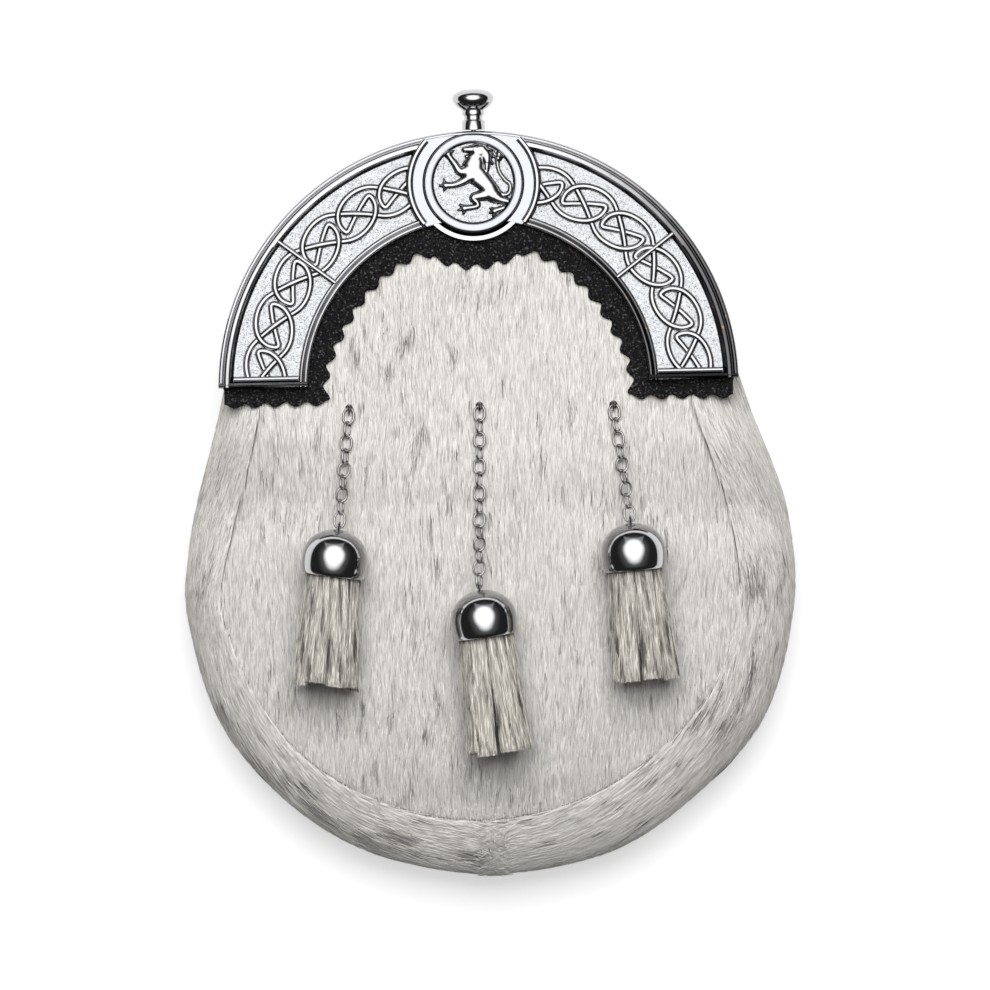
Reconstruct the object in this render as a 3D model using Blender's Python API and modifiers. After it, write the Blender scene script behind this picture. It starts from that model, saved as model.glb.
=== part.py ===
"""A dress sporran that lies on its back.

The pouch is a hide front panel and a hide gusset sewn to a black leather back. A cast arch, the
cantle, covers its top over a scalloped leather backing, and three chains hold bells with hide
tassels. Everything is in metres: +X to the wearer's left, +Y towards the knob, +Z out of the front.
"""

import math

import bmesh
import bpy
import numpy as np
from mathutils import Matrix, Vector

MM = 0.001
GAP = 0.3  # between pieces that touch, mm. All sizes below are in mm

# Walls
HIDE = 2.4
BACK_LEATHER = 2.2
CANTLE_LEATHER = 1.6

# The front panel's edge and the gusset's widest line beside it, round the pouch from the left leg of
# the cantle to the right one
SEAM_TABLE = (
    # seam_x, seam_y, side_x, side_y
    (-72.0, 50.0, -80.0, 52.0),
    (-72.5, 22.0, -84.5, 24.0),
    (-80.5, -13.0, -93.4, -14.0),
    (-84.4, -36.0, -94.6, -41.0),
    (-75.0, -64.0, -84.9, -73.5),
    (-57.0, -86.5, -63.8, -99.1),
    (-30.0, -101.0, -35.9, -115.5),
    (0.0, -104.8, 0.5, -121.6),
    (30.0, -97.5, 37.3, -114.3),
    (55.0, -80.5, 64.9, -95.8),
    (71.0, -58.5, 85.7, -70.2),
    (76.9, -31.0, 94.0, -36.0),
    (73.0, -5.0, 91.0, -5.0),
    (62.5, 26.0, 79.5, 26.0),
    (62.0, 50.0, 71.0, 52.0),
)
# Hidden behind the cantle: the tops of the front panel and of the back panel
FRONT_TOP = ((47.0, 86.0), (-4.0, 103.5), (-54.0, 86.0))
BACK_TOP = ((54.0, 88.0), (-4.0, 107.0), (-62.0, 88.0))
FRONT_MIDDLE = (-3.0, -8.0)
BACK_MIDDLE = (-4.0, 20.0)
PANEL_RINGS = (0.4, 0.75, 1.0)  # rings of points between the middle and the edge

# Height of the front panel's outer face along its middle line. It is flat behind the cantle
FRONT_PROFILE = (
    # y, z
    (-125.0, 24.0),
    (-105.0, 28.5),
    (-85.0, 33.0),
    (-60.0, 36.0),
    (-30.0, 37.2),
    (0.0, 36.4),
    (20.0, 34.1),
    (125.0, 18.8),
)
# The front panel's crosswise bow, from 0 where it is flat to 1 at the full radius
BOW_RADIUS = 475.0
BOW_SHARE = (
    # y, share
    (-125.0, 1.0),
    (-12.0, 1.0),
    (20.0, 0.0),
    (125.0, 0.0),
)
# Height of the back panel's lower face
BACK_PROFILE = (
    # y, z
    (-125.0, 0.0),
    (4.0, 0.0),
    (28.0, 3.6),
    (50.0, 7.3),
    (125.0, 7.3),
)
SIDE_HEIGHT = 0.42  # height of the gusset's widest line, as a share of its depth
GUSSET_LAP = 3.5  # how far the gusset runs under the front panel
SEAM_GAP = 0.5  # between the two there
GUSSET_ANGLES = (28, 60, 90)  # round the bulge, in degrees
GUSSET_TUCK = 3.0  # how far its lower edge lies inside the widest line
BACK_INSET = 3.2  # the back's edge inside the gusset's widest line
BACK_SHOW = 5.2  # how much further out it lies at the lower right, where it shows
BACK_SHOW_ANGLE = -54.0
BACK_SHOW_WIDTH = 11.0

# Cantle, drawn flat about the arch's centre and then laid on the front
ARCH_CENTER = (-4.2, 30.9)
ARCH_TURN = 1.2  # degrees counter-clockwise
ARCH_OUTER = (81.1, 79.7)
ARCH_INNER = (53.1, 51.9)
LEG_END = 0.8  # the legs stop this far above the centre
PLATE = 1.7
OUTER_RIM = 4.0
INNER_RIM = 2.9
OUTER_RIM_HEIGHT = 3.8
INNER_RIM_HEIGHT = 3.3
RIM_ROUND = 0.8  # how far the rims are rounded down at their outer sides
RIM_CREST = 0.05  # as a share of the band's width
BAND_STEPS = 25
END_RIM = 3.6
END_RIM_HEIGHT = 3.5
END_RIM_ACROSS = (53.7, 80.2)
DIVIDER_ANGLE = 37.3
DIVIDER_ENDS = (0.05, 0.93)  # shares of the band's width
DIVIDER = (1.5, 2.9)  # width, height
RADIAL_BOWING = 6.0  # power with which the leather's inner edge widens towards the legs

# Interlaced band: each motif is a back stroke, two round arcs and a bar from the neighbour
MOTIF_PITCH = 12.92  # degrees
MOTIF_SHIFT = 4.6  # degrees from the left leg's end to the first motif's centre
MOTIF_RADIUS = 66.5
MOTIF_HALF_HEIGHT = 5.75
STRAND = (1.25, 2.5)  # half width of the four-sided strand, which is sunk in the plate, and height
STRAND_TIP = 1  # the row of the table at which the strand turns back
BACK_STROKE_REACH = 1.07
STRAND_TABLE = (
    # from one motif's centre to the next: along, in motifs, out, in half heights, and up, in mm
    (0.0, 0.0, -0.2),
    (-0.41, -0.52, 0.0),
    (-0.38, 0.55, 0.12),
    (0.04, 1.1, 0.08),
    (0.49, 0.95, -0.15),
    (1.0, 0.0, 0.15),
)

# Medallion, about its own centre
MEDALLION_CENTER = (-0.3, 63.3)
MEDALLION_SIDES = 20
MEDALLION_PROFILE = (
    # radius, height
    (12.4, 2.6),
    (12.9, 4.0),
    (14.1, 4.7),
    (15.5, 4.0),
    (15.9, 2.4),
    (16.5, 2.4),
    (16.8, 3.6),
    (18.2, 3.6),
    (18.3, 0.0),
)
SIDE_ARC = (18.9, 21.1, 3.4)  # inner radius, outer radius, height
SIDE_ARC_ANGLES = ((-32.0, 47.0), (133.0, 212.0))
WITHIN_ARCH = 0.99  # share of the band's width that the medallion may reach
LIMB_SUNK = 0.5  # how far the lion's parts reach into the field, and how much more each next one does
LIMB_STAGGER = 0.007
LION_TABLE = (
    # from x, y, radius, to x, y, radius, height over the field, in field radii but the last in mm
    (0.10, 0.80, 0.13, 0.16, 0.62, 0.17, 2.3),
    (0.05, 0.84, 0.10, -0.16, 0.80, 0.06, 1.9),
    (0.03, 0.70, 0.07, -0.14, 0.64, 0.04, 1.6),
    (0.26, 0.66, 0.15, 0.33, 0.38, 0.07, 2.1),
    (0.10, 0.52, 0.19, 0.02, 0.30, 0.23, 2.2),
    (0.02, 0.30, 0.22, 0.26, 0.04, 0.16, 2.0),
    (0.26, 0.04, 0.16, 0.50, -0.26, 0.18, 2.15),
    (-0.12, 0.32, 0.12, -0.40, 0.42, 0.07, 1.8),
    (-0.40, 0.42, 0.07, -0.58, 0.66, 0.08, 1.7),
    (-0.12, 0.20, 0.11, -0.40, 0.00, 0.07, 1.65),
    (-0.40, 0.00, 0.07, -0.62, -0.02, 0.08, 1.75),
    (0.46, -0.26, 0.17, 0.08, -0.34, 0.12, 1.95),
    (0.08, -0.34, 0.11, 0.14, -0.56, 0.06, 1.6),
    (0.14, -0.58, 0.06, -0.20, -0.64, 0.07, 1.7),
    (0.54, -0.34, 0.13, 0.80, -0.48, 0.07, 1.5),
    (0.80, -0.48, 0.06, 0.76, -0.66, 0.05, 1.45),
    (0.76, -0.68, 0.05, 0.50, -0.72, 0.06, 1.55),
    (0.62, -0.20, 0.05, 0.84, -0.06, 0.045, 1.3),
    (0.84, -0.06, 0.045, 0.66, 0.24, 0.05, 1.35),
    (0.66, 0.24, 0.05, 0.60, 0.50, 0.06, 1.45),
    (0.60, 0.50, 0.09, 0.66, 0.70, 0.05, 1.55),
)

# Leather behind the cantle
LEATHER_OUTER_INSET = 1.4
LEATHER_INNER = (44.8, 3.9)  # radius at the top, and how much wider it is at the legs
LEATHER_DIP = 27.3  # radius about the medallion
LEATHER_END = -6.4
LEATHER_LEG_MARGIN = 2.2  # the legs' leather inside the cantle's outer edge
SCALLOP_PITCH = 6.2
SCALLOP_DEPTH = 1.7

# Knob: turned about Y, from the head down to the pin in the cantle
KNOB_PROFILE = (
    # radius, distance from the top
    (3.2, 0.0),
    (5.6, 1.0),
    (6.65, 2.9),
    (6.3, 4.6),
    (4.6, 6.1),
    (3.5, 6.9),
    (3.5, 8.3),
    (2.9, 8.6),
    (2.9, 9.9),
    (3.65, 10.2),
    (3.65, 13.0),
    (0.9, 13.0),
    (0.9, 17.0),
)
KNOB_X = 0.1
KNOB_Z = 1.7
KNOB_SEAT = 0.3  # over the cantle's edge
KNOB_SIDES = 12
KNOB_PIN_CLEARANCE = 0.3

# Staples, chains, bells and tassels: where the staple is, how many links, and how the bell lies
DROP_TABLE = (
    # name, staple_x, staple_y, links, bell_eye_x, bell_eye_y, bell_turn, tassel_turn, tassel_length
    ("left", -44.6, 23.2, 9, -47.5, -13.4, 7.5, 3.5, 35.5),
    ("center", -3.9, 24.0, 14, -4.0, -32.2, -8.5, -6.7, 37.0),
    ("right", 37.9, 24.4, 9, 43.0, -11.4, -5.2, -5.7, 35.2),
)
WIRE = 0.68
EYE_INNER = 1.05
EYE_SEGMENTS = 7
STAPLE_HEIGHT = 1.5  # the eye's centre over the front
STAPLE_STEM = 0.75
STAPLE_HOLE = 1.2
STAPLE_WASHER = (2.6, 0.7)  # radius and thickness, inside the pouch
LINK_WIDTH = 3.9
LINK_OVERLAP = 0.24
LINK_OUTLINE = ((1.0, -0.5), (1.0, 0.5), (0.0, 1.0))  # half of it, in half lengths and half widths
LINK_ROLL = 42.0
CHAIN_REST = 1.95  # height of the chain's middle over the front
CHAIN_START = 5.0  # length over which it comes down from the staple
CHAIN_CLIMB = 24.0  # and over which it climbs to the bell's eye
BELL_WALL = 0.8
BELL_SIDES = 13
BELL_PROFILE = (
    # outer radius, height over the rim
    (1.2, 14.6),
    (4.2, 13.9),
    (7.2, 12.1),
    (9.3, 9.4),
    (10.3, 5.6),
    (10.2, 2.6),
    (9.6, 0.0),
)
BELL_INSIDE = (
    # outer radius there, height over the rim
    (9.6, 0.0),
    (10.2, 3.6),
    (9.3, 8.6),
    (5.6, 12.2),
)
BELL_EYE_HEIGHT = 15.4
TASSEL_HEAD = (8.3, 6.5)  # radius and height inside the bell
TASSEL_STRIPS = 8
TASSEL_STRIP = (4.9, 1.9)  # width and thickness
TASSEL_TOP = (7.0, 6.2)  # half width and half depth of the ring of strips at the bell's rim
TASSEL_BOTTOM = (8.4, 6.0)
TASSEL_CORE = 0.88  # size of the core inside the strips
TASSEL_CORE_SHARES = (0.01, 0.95)
TASSEL_DROP = 2.4  # how far its lower end sinks towards the front

# Belt loops on the back: an outline in Y and Z, drawn through along X
LOOP_X = (-40.0, 34.0)
LOOP_WIDTH = 18.0
LOOP_LEATHER = 1.9
LOOP_TABLE = (
    # y, z of the strap's middle
    (58.0, 5.8),
    (63.0, 5.8),
    (66.0, 0.95),
    (87.0, 0.95),
    (90.0, 5.8),
    (96.0, 5.8),
)

HIDE_COLOR = (0.66, 0.63, 0.6, 1.0)
LEATHER_COLOR = (0.012, 0.012, 0.013, 1.0)
CHROME_COLOR = (0.72, 0.72, 0.74, 1.0)

for old in list(bpy.data.objects):
    bpy.data.objects.remove(old, do_unlink=True)
SPORRAN = bpy.data.collections.new("sporran_pouch")
bpy.context.scene.collection.children.link(SPORRAN)


def material(name, color, roughness, metallic):
    new = bpy.data.materials.new(name)
    new.use_nodes = True
    shader = new.node_tree.nodes["Principled BSDF"]
    shader.inputs["Base Color"].default_value = color
    shader.inputs["Roughness"].default_value = roughness
    shader.inputs["Metallic"].default_value = metallic
    return new


def smooth_line(table, steps):
    """Catmull-Rom curve through the rows of a table, with this many steps between two rows."""
    rows = np.array(table, float)
    rows = np.vstack([2 * rows[0] - rows[1], rows, 2 * rows[-1] - rows[-2]])
    t = np.linspace(0, 1, steps, endpoint=False)[:, None]
    spans = [catmull_rom(rows[i : i + 4], t) for i in range(len(rows) - 3)]
    return np.vstack(spans + [rows[-2]])


def smooth_ring(table, steps):
    """The same, closed, and without its first point again at the end."""
    rows = np.array(table, float)
    t = np.linspace(0, 1, steps, endpoint=False)[:, None]
    around = [rows[np.arange(i - 1, i + 3) % len(rows)] for i in range(len(rows))]
    return np.vstack([catmull_rom(four, t) for four in around])


def catmull_rom(four, t):
    a, b, c, d = four
    return 0.5 * (2 * b + (c - a) * t + (2 * a - 5 * b + 4 * c - d) * t**2 + (3 * b - a - 3 * c + d) * t**3)


def smooth_value(table, y):
    """Cubic interpolation of the second column over the first, which never overshoots its rows."""
    known, values = np.array(table, float).T
    rises = np.diff(values) / np.diff(known)
    before, after = rises[:-1], rises[1:]
    both = np.where(before * after > 0, before * after, 0)
    slopes = np.concatenate([[rises[0]], 2 * both / np.where(both > 0, before + after, 1), [rises[-1]]])
    y = np.clip(np.asarray(y, float), known[0], known[-1])
    i = np.clip(np.searchsorted(known, y) - 1, 0, len(known) - 2)
    span = known[i + 1] - known[i]
    t = (y - known[i]) / span
    return (
        (2 * t**3 - 3 * t**2 + 1) * values[i]
        + (t**3 - 2 * t**2 + t) * span * slopes[i]
        + (3 * t**2 - 2 * t**3) * values[i + 1]
        + (t**3 - t**2) * span * slopes[i + 1]
    )


def front_height(x, y):
    """Height of the front panel's outer face: the middle line's, less the crosswise bow."""
    bow = smooth_value(BOW_SHARE, y) / (2 * BOW_RADIUS)
    return smooth_value(FRONT_PROFILE, y) - bow * np.asarray(x, float) ** 2


def back_height(y):
    return smooth_value(BACK_PROFILE, y)


def mesh_object(name, points, faces, edges=()):
    """An object of its own, from points in mm."""
    mesh = bpy.data.meshes.new(name)
    mesh.from_pydata((np.asarray(points, float) * MM).tolist(), edges, faces)
    obj = bpy.data.objects.new(name, mesh)
    SPORRAN.objects.link(obj)
    return obj


def grid_faces(rows, columns, closed=False):
    """Quads between neighbouring rows of points that are numbered row by row."""
    faces = []
    for row in range(rows - 1):
        for column in range(columns if closed else columns - 1):
            a, b = row * columns + column, row * columns + (column + 1) % columns
            faces.append((a, b, b + columns, a + columns))
    return faces


def recalculate(obj):
    mesh = bmesh.new()
    mesh.from_mesh(obj.data)
    bmesh.ops.remove_doubles(mesh, verts=mesh.verts, dist=0.01 * MM)
    bmesh.ops.recalc_face_normals(mesh, faces=mesh.faces)
    mesh.to_mesh(obj.data)
    mesh.free()
    return obj


def apply_modifiers(obj):
    """Replace the object's data by its evaluated mesh."""
    bpy.context.view_layer.update()
    graph = bpy.context.evaluated_depsgraph_get()
    mesh = bpy.data.meshes.new_from_object(obj.evaluated_get(graph))
    if obj.type == "MESH":
        obj.modifiers.clear()
        obj.data = mesh
        return obj
    new = bpy.data.objects.new(obj.name + "_mesh", mesh)
    SPORRAN.objects.link(new)
    new.matrix_world = obj.matrix_world
    bpy.data.objects.remove(obj, do_unlink=True)
    return recalculate(new)


def combine(obj, others, operation="UNION"):
    """Join the others to the object, or cut them from it."""
    helpers = bpy.data.collections.new("helpers")
    bpy.context.scene.collection.children.link(helpers)
    for other in others:
        helpers.objects.link(other)
        SPORRAN.objects.unlink(other)
    modifier = obj.modifiers.new("combine", "BOOLEAN")
    modifier.operation = operation
    modifier.operand_type = "COLLECTION"
    modifier.collection = helpers
    apply_modifiers(obj)
    for other in others:
        bpy.data.objects.remove(other, do_unlink=True)
    bpy.data.collections.remove(helpers)
    return obj


def solidify(obj, thickness, offset=-1.0):
    modifier = obj.modifiers.new("thickness", "SOLIDIFY")
    modifier.thickness = thickness * MM
    modifier.offset = offset
    modifier.use_even_offset = True
    return obj


def poly_curve(name, points, closed, dimensions="3D"):
    curve = bpy.data.curves.new(name, "CURVE")
    curve.dimensions = dimensions
    spline = curve.splines.new("POLY")
    spline.points.add(len(points) - 1)
    for point, place in zip(spline.points, points):
        point.co = (*(np.asarray(place, float) * MM), 1.0)
    spline.use_cyclic_u = closed
    obj = bpy.data.objects.new(name, curve)
    SPORRAN.objects.link(obj)
    return obj


def wire(name, points, radius, closed, sides=5):
    """A wire through these points, as a mesh, with this many sides and one of its edges on top."""
    angles = np.pi / 2 + np.arange(sides) * 2 * np.pi / sides
    ring = [(radius * math.cos(a), radius * math.sin(a), 0) for a in angles]
    section = poly_curve("section", ring, closed=True)
    obj = poly_curve(name, points, closed)
    obj.data.twist_mode = "Z_UP"
    obj.data.bevel_mode = "OBJECT"
    obj.data.bevel_object = section
    obj.data.use_fill_caps = True
    made = apply_modifiers(obj)
    bpy.data.objects.remove(section, do_unlink=True)
    return made


def plate(name, outline, low, high):
    """A flat plate with this outline, between two heights."""
    obj = poly_curve(name, [(x, y, 0) for x, y in outline], closed=True, dimensions="2D")
    obj.data.fill_mode = "BOTH"
    obj.data.extrude = (high - low) / 2 * MM
    obj.location.z = (low + high) / 2 * MM
    made = apply_modifiers(obj)
    made.data.transform(made.matrix_world)
    made.matrix_world = Matrix()
    return made


def turned(name, profile, sides):
    """A solid turned about Z from an outer profile that runs from the top of the axis to its bottom."""
    edges = [(i, i + 1) for i in range(len(profile) - 1)]
    obj = mesh_object(name, [(r, 0, z) for r, z in profile], [], edges)
    modifier = obj.modifiers.new("turn", "SCREW")
    modifier.steps = sides
    modifier.render_steps = sides
    modifier.use_merge_vertices = True
    modifier.merge_threshold = 0.00002
    return recalculate(apply_modifiers(obj))


def cylinder(name, radius, low, high, sides=12):
    """An upright cylinder at the origin."""
    return turned(name, [(0, high), (radius, high), (radius, low), (0, low)], sides)


def move_points(obj, place):
    """Send every point through a function of its coordinates in mm."""
    points = np.empty(len(obj.data.vertices) * 3)
    obj.data.vertices.foreach_get("co", points)
    points = place(points.reshape(-1, 3) / MM) * MM
    obj.data.vertices.foreach_set("co", points.ravel())
    obj.data.update()
    return obj


def finish(obj, name, finish_material, angle=35):
    obj.name = name
    obj.data.name = name
    obj.data.materials.clear()
    obj.data.materials.append(finish_material)
    obj.data.shade_smooth()
    obj.data.set_sharp_from_angle(angle=math.radians(angle))
    return obj


# ---------------------------------------------------------------- pouch
def disc_surface(name, outline, rings, center, height):
    """A disc of rings about a centre, out to an outline, at a height given by x and y."""
    points = [center]
    for share in rings:
        points.extend(center + (outline - center) * share)
    points = np.array(points)
    spokes = len(outline)
    faces = [(0, 1 + s, 1 + (s + 1) % spokes) for s in range(spokes)]
    faces += [tuple(1 + i for i in face)[::-1] for face in grid_faces(len(rings), spokes, closed=True)]
    heights = height(points[:, 0], points[:, 1])
    return mesh_object(name, np.column_stack([points, heights]), faces)


def facing_up(panel):
    recalculate(panel)
    if panel.data.polygons[0].normal.z < 0:
        panel.data.flip_normals()
    return panel


def gusset_lines(steps):
    """The seam, the widest line and the direction from one to the other, at each station."""
    lines = smooth_line(SEAM_TABLE, steps)
    seam, side = lines[:, :2], lines[:, 2:]
    reach = np.linalg.norm(side - seam, axis=1, keepdims=True)
    return seam, side, (side - seam) / reach, reach


def make_front_panel():
    outline = smooth_ring([row[:2] for row in SEAM_TABLE] + list(FRONT_TOP), 2)
    panel = disc_surface("front_panel", outline, PANEL_RINGS, np.array(FRONT_MIDDLE), front_height)
    apply_modifiers(solidify(facing_up(panel), HIDE))
    drills = []
    for row in DROP_TABLE:
        drill = cylinder("drill", STAPLE_HOLE, 15, 45, 8)
        drill.data.transform(Matrix.Translation((row[1] * MM, row[2] * MM, 0)))
        drills.append(drill)
    return combine(panel, drills, "DIFFERENCE")


def make_gusset():
    """Sections from under the front panel, over the bulge, to the back panel's edge."""
    seam, side, out, reach = gusset_lines(2)
    top = front_height(seam[:, 0], seam[:, 1])[:, None] - HIDE - SEAM_GAP
    bottom = back_height(side[:, 1])[:, None] + BACK_LEATHER + GAP
    middle = bottom + SIDE_HEIGHT * (top - bottom)
    sections = [np.hstack([seam - out * GUSSET_LAP, top]), np.hstack([seam - out * 0.5, top])]
    for angle in np.radians(GUSSET_ANGLES):
        place = seam + out * reach * np.sin(angle)
        sections.append(np.hstack([place, middle + (top - middle) * np.cos(angle)]))
    for share in (0.5, 1.0):
        place = side - out * GUSSET_TUCK * share**2
        sections.append(np.hstack([place, middle + (bottom - middle) * share]))
    points = np.array(sections)
    gusset = mesh_object("gusset", points.reshape(-1, 3), grid_faces(*points.shape[:2]))
    return apply_modifiers(solidify(gusset, HIDE, offset=1.0))


def make_back_panel():
    """Its edge shows beyond the gusset at the lower right."""
    outline = smooth_ring([row[2:] for row in SEAM_TABLE] + list(BACK_TOP), 2)
    spoke = outline - BACK_MIDDLE
    reach = np.linalg.norm(spoke, axis=1, keepdims=True)
    off = (np.degrees(np.arctan2(spoke[:, 1:], spoke[:, :1])) - BACK_SHOW_ANGLE) / BACK_SHOW_WIDTH
    outline = BACK_MIDDLE + spoke * (1 - (BACK_INSET - BACK_SHOW * np.exp(-(off**2))) / reach)

    def upper_face(_, y):
        return back_height(y) + BACK_LEATHER

    panel = disc_surface("back_panel", outline, PANEL_RINGS, np.array(BACK_MIDDLE), upper_face)
    return apply_modifiers(solidify(facing_up(panel), BACK_LEATHER))


def make_belt_loop(x):
    rows = np.array(LOOP_TABLE)
    points = [(x + side * LOOP_WIDTH / 2, y, z) for side in (-1, 1) for y, z in rows]
    strap = mesh_object("belt_loop", points, grid_faces(2, len(rows)))
    return apply_modifiers(solidify(strap, LOOP_LEATHER, offset=0.0))


# ---------------------------------------------------------------- cantle
def polar(radius, degrees):
    angle = np.radians(degrees)
    return np.stack([radius * np.cos(angle), radius * np.sin(angle)], axis=-1)


def lay_on_front(lift):
    """From the cantle's flat drawing to its place on the front."""
    turn = math.radians(ARCH_TURN)

    def place(points):
        x = points[:, 0] * math.cos(turn) - points[:, 1] * math.sin(turn) + ARCH_CENTER[0]
        y = points[:, 0] * math.sin(turn) + points[:, 1] * math.cos(turn) + ARCH_CENTER[1]
        return np.column_stack([x, y, front_height(x, y) + lift + points[:, 2]])

    return place


def arch_point(share, degrees):
    """A point of the band, from its inner edge at share 0 to its outer edge at share 1."""
    half_width, half_height = (low + (high - low) * share for low, high in zip(ARCH_INNER, ARCH_OUTER))
    angle = np.radians(degrees)
    return np.stack([half_width * np.cos(angle), half_height * np.sin(angle)], axis=-1)


def make_band():
    """The arch with its two rims, as one section carried round from leg to leg."""
    width = ARCH_OUTER[0] - ARCH_INNER[0]
    inner, outer = INNER_RIM / width, 1 - OUTER_RIM / width
    section = (
        # share of the band's width, height
        (0.0, 0.0),
        (0.0, INNER_RIM_HEIGHT - RIM_ROUND),
        (inner * 0.5, INNER_RIM_HEIGHT),
        (inner, PLATE),
        (outer, PLATE),
        (outer + RIM_CREST, OUTER_RIM_HEIGHT),
        (1.0 - RIM_CREST / 2, OUTER_RIM_HEIGHT - RIM_ROUND),
        (1.0, OUTER_RIM_HEIGHT - 2 * RIM_ROUND),
        (1.0, 0.0),
    )
    share, height = np.array(section).T
    leg = math.degrees(math.asin(LEG_END / ARCH_OUTER[1]))
    steps = np.linspace(leg, 180 - leg, BAND_STEPS)
    rows = np.array([np.column_stack([arch_point(share, degrees), height]) for degrees in steps])
    count = len(section)
    faces = grid_faces(BAND_STEPS, count, closed=True)
    ends = np.arange(BAND_STEPS * count).reshape(BAND_STEPS, count)[[0, -1]]
    faces += [tuple(ends[0].tolist()), tuple(ends[1].tolist())[::-1]]
    return recalculate(mesh_object("cantle", rows.reshape(-1, 3), faces))


def bar(start, end, width, low, high):
    """A straight raised bar between two points of the drawing."""
    start, end = np.array(start), np.array(end)
    along = (end - start) / np.linalg.norm(end - start)
    across = np.array([-along[1], along[0]]) * width / 2
    return plate("bar", [start + across, start - across, end - across, end + across], low, high)


def strand_strokes():
    """One motif's two strokes: the back stroke between its tips, and the arc, bar and arc from its inner
    tip to the outer tip two motifs on. The second half of each is the first, turned half round."""
    half = np.array(STRAND_TABLE)
    half_round = np.array([-1.0, -1.0, 1.0])
    past_tip = half[0] + (half[STRAND_TIP] - half[0]) * BACK_STROKE_REACH
    back = np.vstack([past_tip * half_round, half[:1], past_tip])
    long = np.vstack([half[STRAND_TIP:-1], half[STRAND_TIP:][::-1] * half_round + [2.0, 0.0, 0.0]])
    return ((back, STRAND[0] - 0.08), (long, STRAND[0]))


def make_strands():
    """The strokes on each side of the medallion, clear of the rims at the legs' ends."""
    made = []
    for motif in range(-2, 15):
        for stroke, radius in strand_strokes():
            degrees = 180 - MOTIF_SHIFT - (stroke[:, 0] + motif) * MOTIF_PITCH
            points = polar(MOTIF_RADIUS + stroke[:, 1] * MOTIF_HALF_HEIGHT, degrees)
            points[:, 1] *= ARCH_OUTER[1] / ARCH_OUTER[0]
            places = np.column_stack([points, STRAND[1] - STRAND[0] + stroke[:, 2]])
            from_medallion = np.linalg.norm(points - MEDALLION_CENTER, axis=1)
            inside = (points[:, 1] > LEG_END + 0.9) & (from_medallion > SIDE_ARC[0] + 0.4)
            for start in np.flatnonzero(inside & ~np.concatenate([[False], inside[:-1]])):
                run = inside[start:]
                end = start + (len(run) if run.all() else int(np.argmin(run)))
                if end - start > 1:
                    made.append(wire("strand", places[start:end], radius, closed=False, sides=4))
    return made


def make_medallion():
    """The round boss with its rings, and the bars beside it, ended where the arch ends."""
    top = [(0, MEDALLION_PROFILE[0][1])] + list(MEDALLION_PROFILE) + [(0, 0)]
    disc = turned("medallion", top, MEDALLION_SIDES)
    disc.data.transform(Matrix.Translation((MEDALLION_CENTER[0] * MM, MEDALLION_CENTER[1] * MM, 0)))
    pieces = [disc]
    for low, high in SIDE_ARC_ANGLES:
        degrees = np.linspace(low, high, 7)
        arc = np.vstack([polar(SIDE_ARC[1], degrees), polar(SIDE_ARC[0], degrees[::-1])])
        pieces.append(plate("side_arc", arc + MEDALLION_CENTER, PLATE / 4, SIDE_ARC[2]))
    for piece in pieces:
        within = arch_point(WITHIN_ARCH, np.arange(0, 360, 5))
        combine(piece, [plate("within", within, -1, 2 * OUTER_RIM_HEIGHT)], "INTERSECT")
    return pieces


def limb(row, number):
    """A rounded flat bar between two circles, for one part of the lion."""
    x0, y0, r0, x1, y1, r1, height = row
    start, end = np.array([x0, y0]), np.array([x1, y1])
    heading = math.degrees(math.atan2(y1 - y0, x1 - x0))
    back = start + polar(r0, heading + np.array([90, 180, 270]))
    front = end + polar(r1, heading + np.array([-90, 0, 90]))
    outline = np.vstack([back, front]) * MEDALLION_PROFILE[0][0] + MEDALLION_CENTER
    base = MEDALLION_PROFILE[0][1]
    return plate("limb", outline, base - LIMB_SUNK - LIMB_STAGGER * number, base + height)


def make_cantle():
    band = make_band()
    parts = []
    for side in (-1, 1):
        ends = [(side * across, LEG_END + END_RIM / 2) for across in END_RIM_ACROSS]
        parts.append(bar(*ends, END_RIM - 0.14, PLATE / 3, END_RIM_HEIGHT))
        degrees = 90 - side * (90 - DIVIDER_ANGLE)
        ends = arch_point(np.array(DIVIDER_ENDS), degrees)
        parts.append(bar(*ends, DIVIDER[0], 0.35 * PLATE, DIVIDER[1]))
    combine(band, parts)
    for strand in make_strands():
        combine(band, [strand])
    for piece in make_medallion():
        combine(band, [piece])
    for number, row in enumerate(LION_TABLE):
        combine(band, [limb(row, number)])
    pin = KNOB_PROFILE[-1][0] + KNOB_PIN_CLEARANCE
    drill = cylinder("drill", pin, -6.0, 2.0, 10)
    drill.data.transform(knob_frame(ARCH_OUTER[1]))
    combine(band, [drill], "DIFFERENCE")
    return move_points(band, lay_on_front(CANTLE_LEATHER + 2 * GAP))


def knob_frame(y):
    """The knob stands over the medallion, its axis along Y in the cantle's drawing."""
    place = Matrix.Translation((KNOB_X * MM, y * MM, KNOB_Z * MM))
    return place @ Matrix.Rotation(-math.pi / 2, 4, "X")


def make_knob():
    profile = [(0, 0)] + [(r, -d) for r, d in KNOB_PROFILE] + [(0, -KNOB_PROFILE[-1][1])]
    knob = turned("top_knob", profile, KNOB_SIDES)
    knob.data.transform(knob_frame(ARCH_OUTER[1] + KNOB_SEAT + KNOB_PROFILE[-3][1]))
    return move_points(knob, lay_on_front(CANTLE_LEATHER + 2 * GAP))


def scallop(distance):
    """Bites between points: how far the edge is cut back at this distance along it."""
    return SCALLOP_DEPTH * abs(math.sin(math.pi * distance / SCALLOP_PITCH)) ** 0.7


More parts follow.
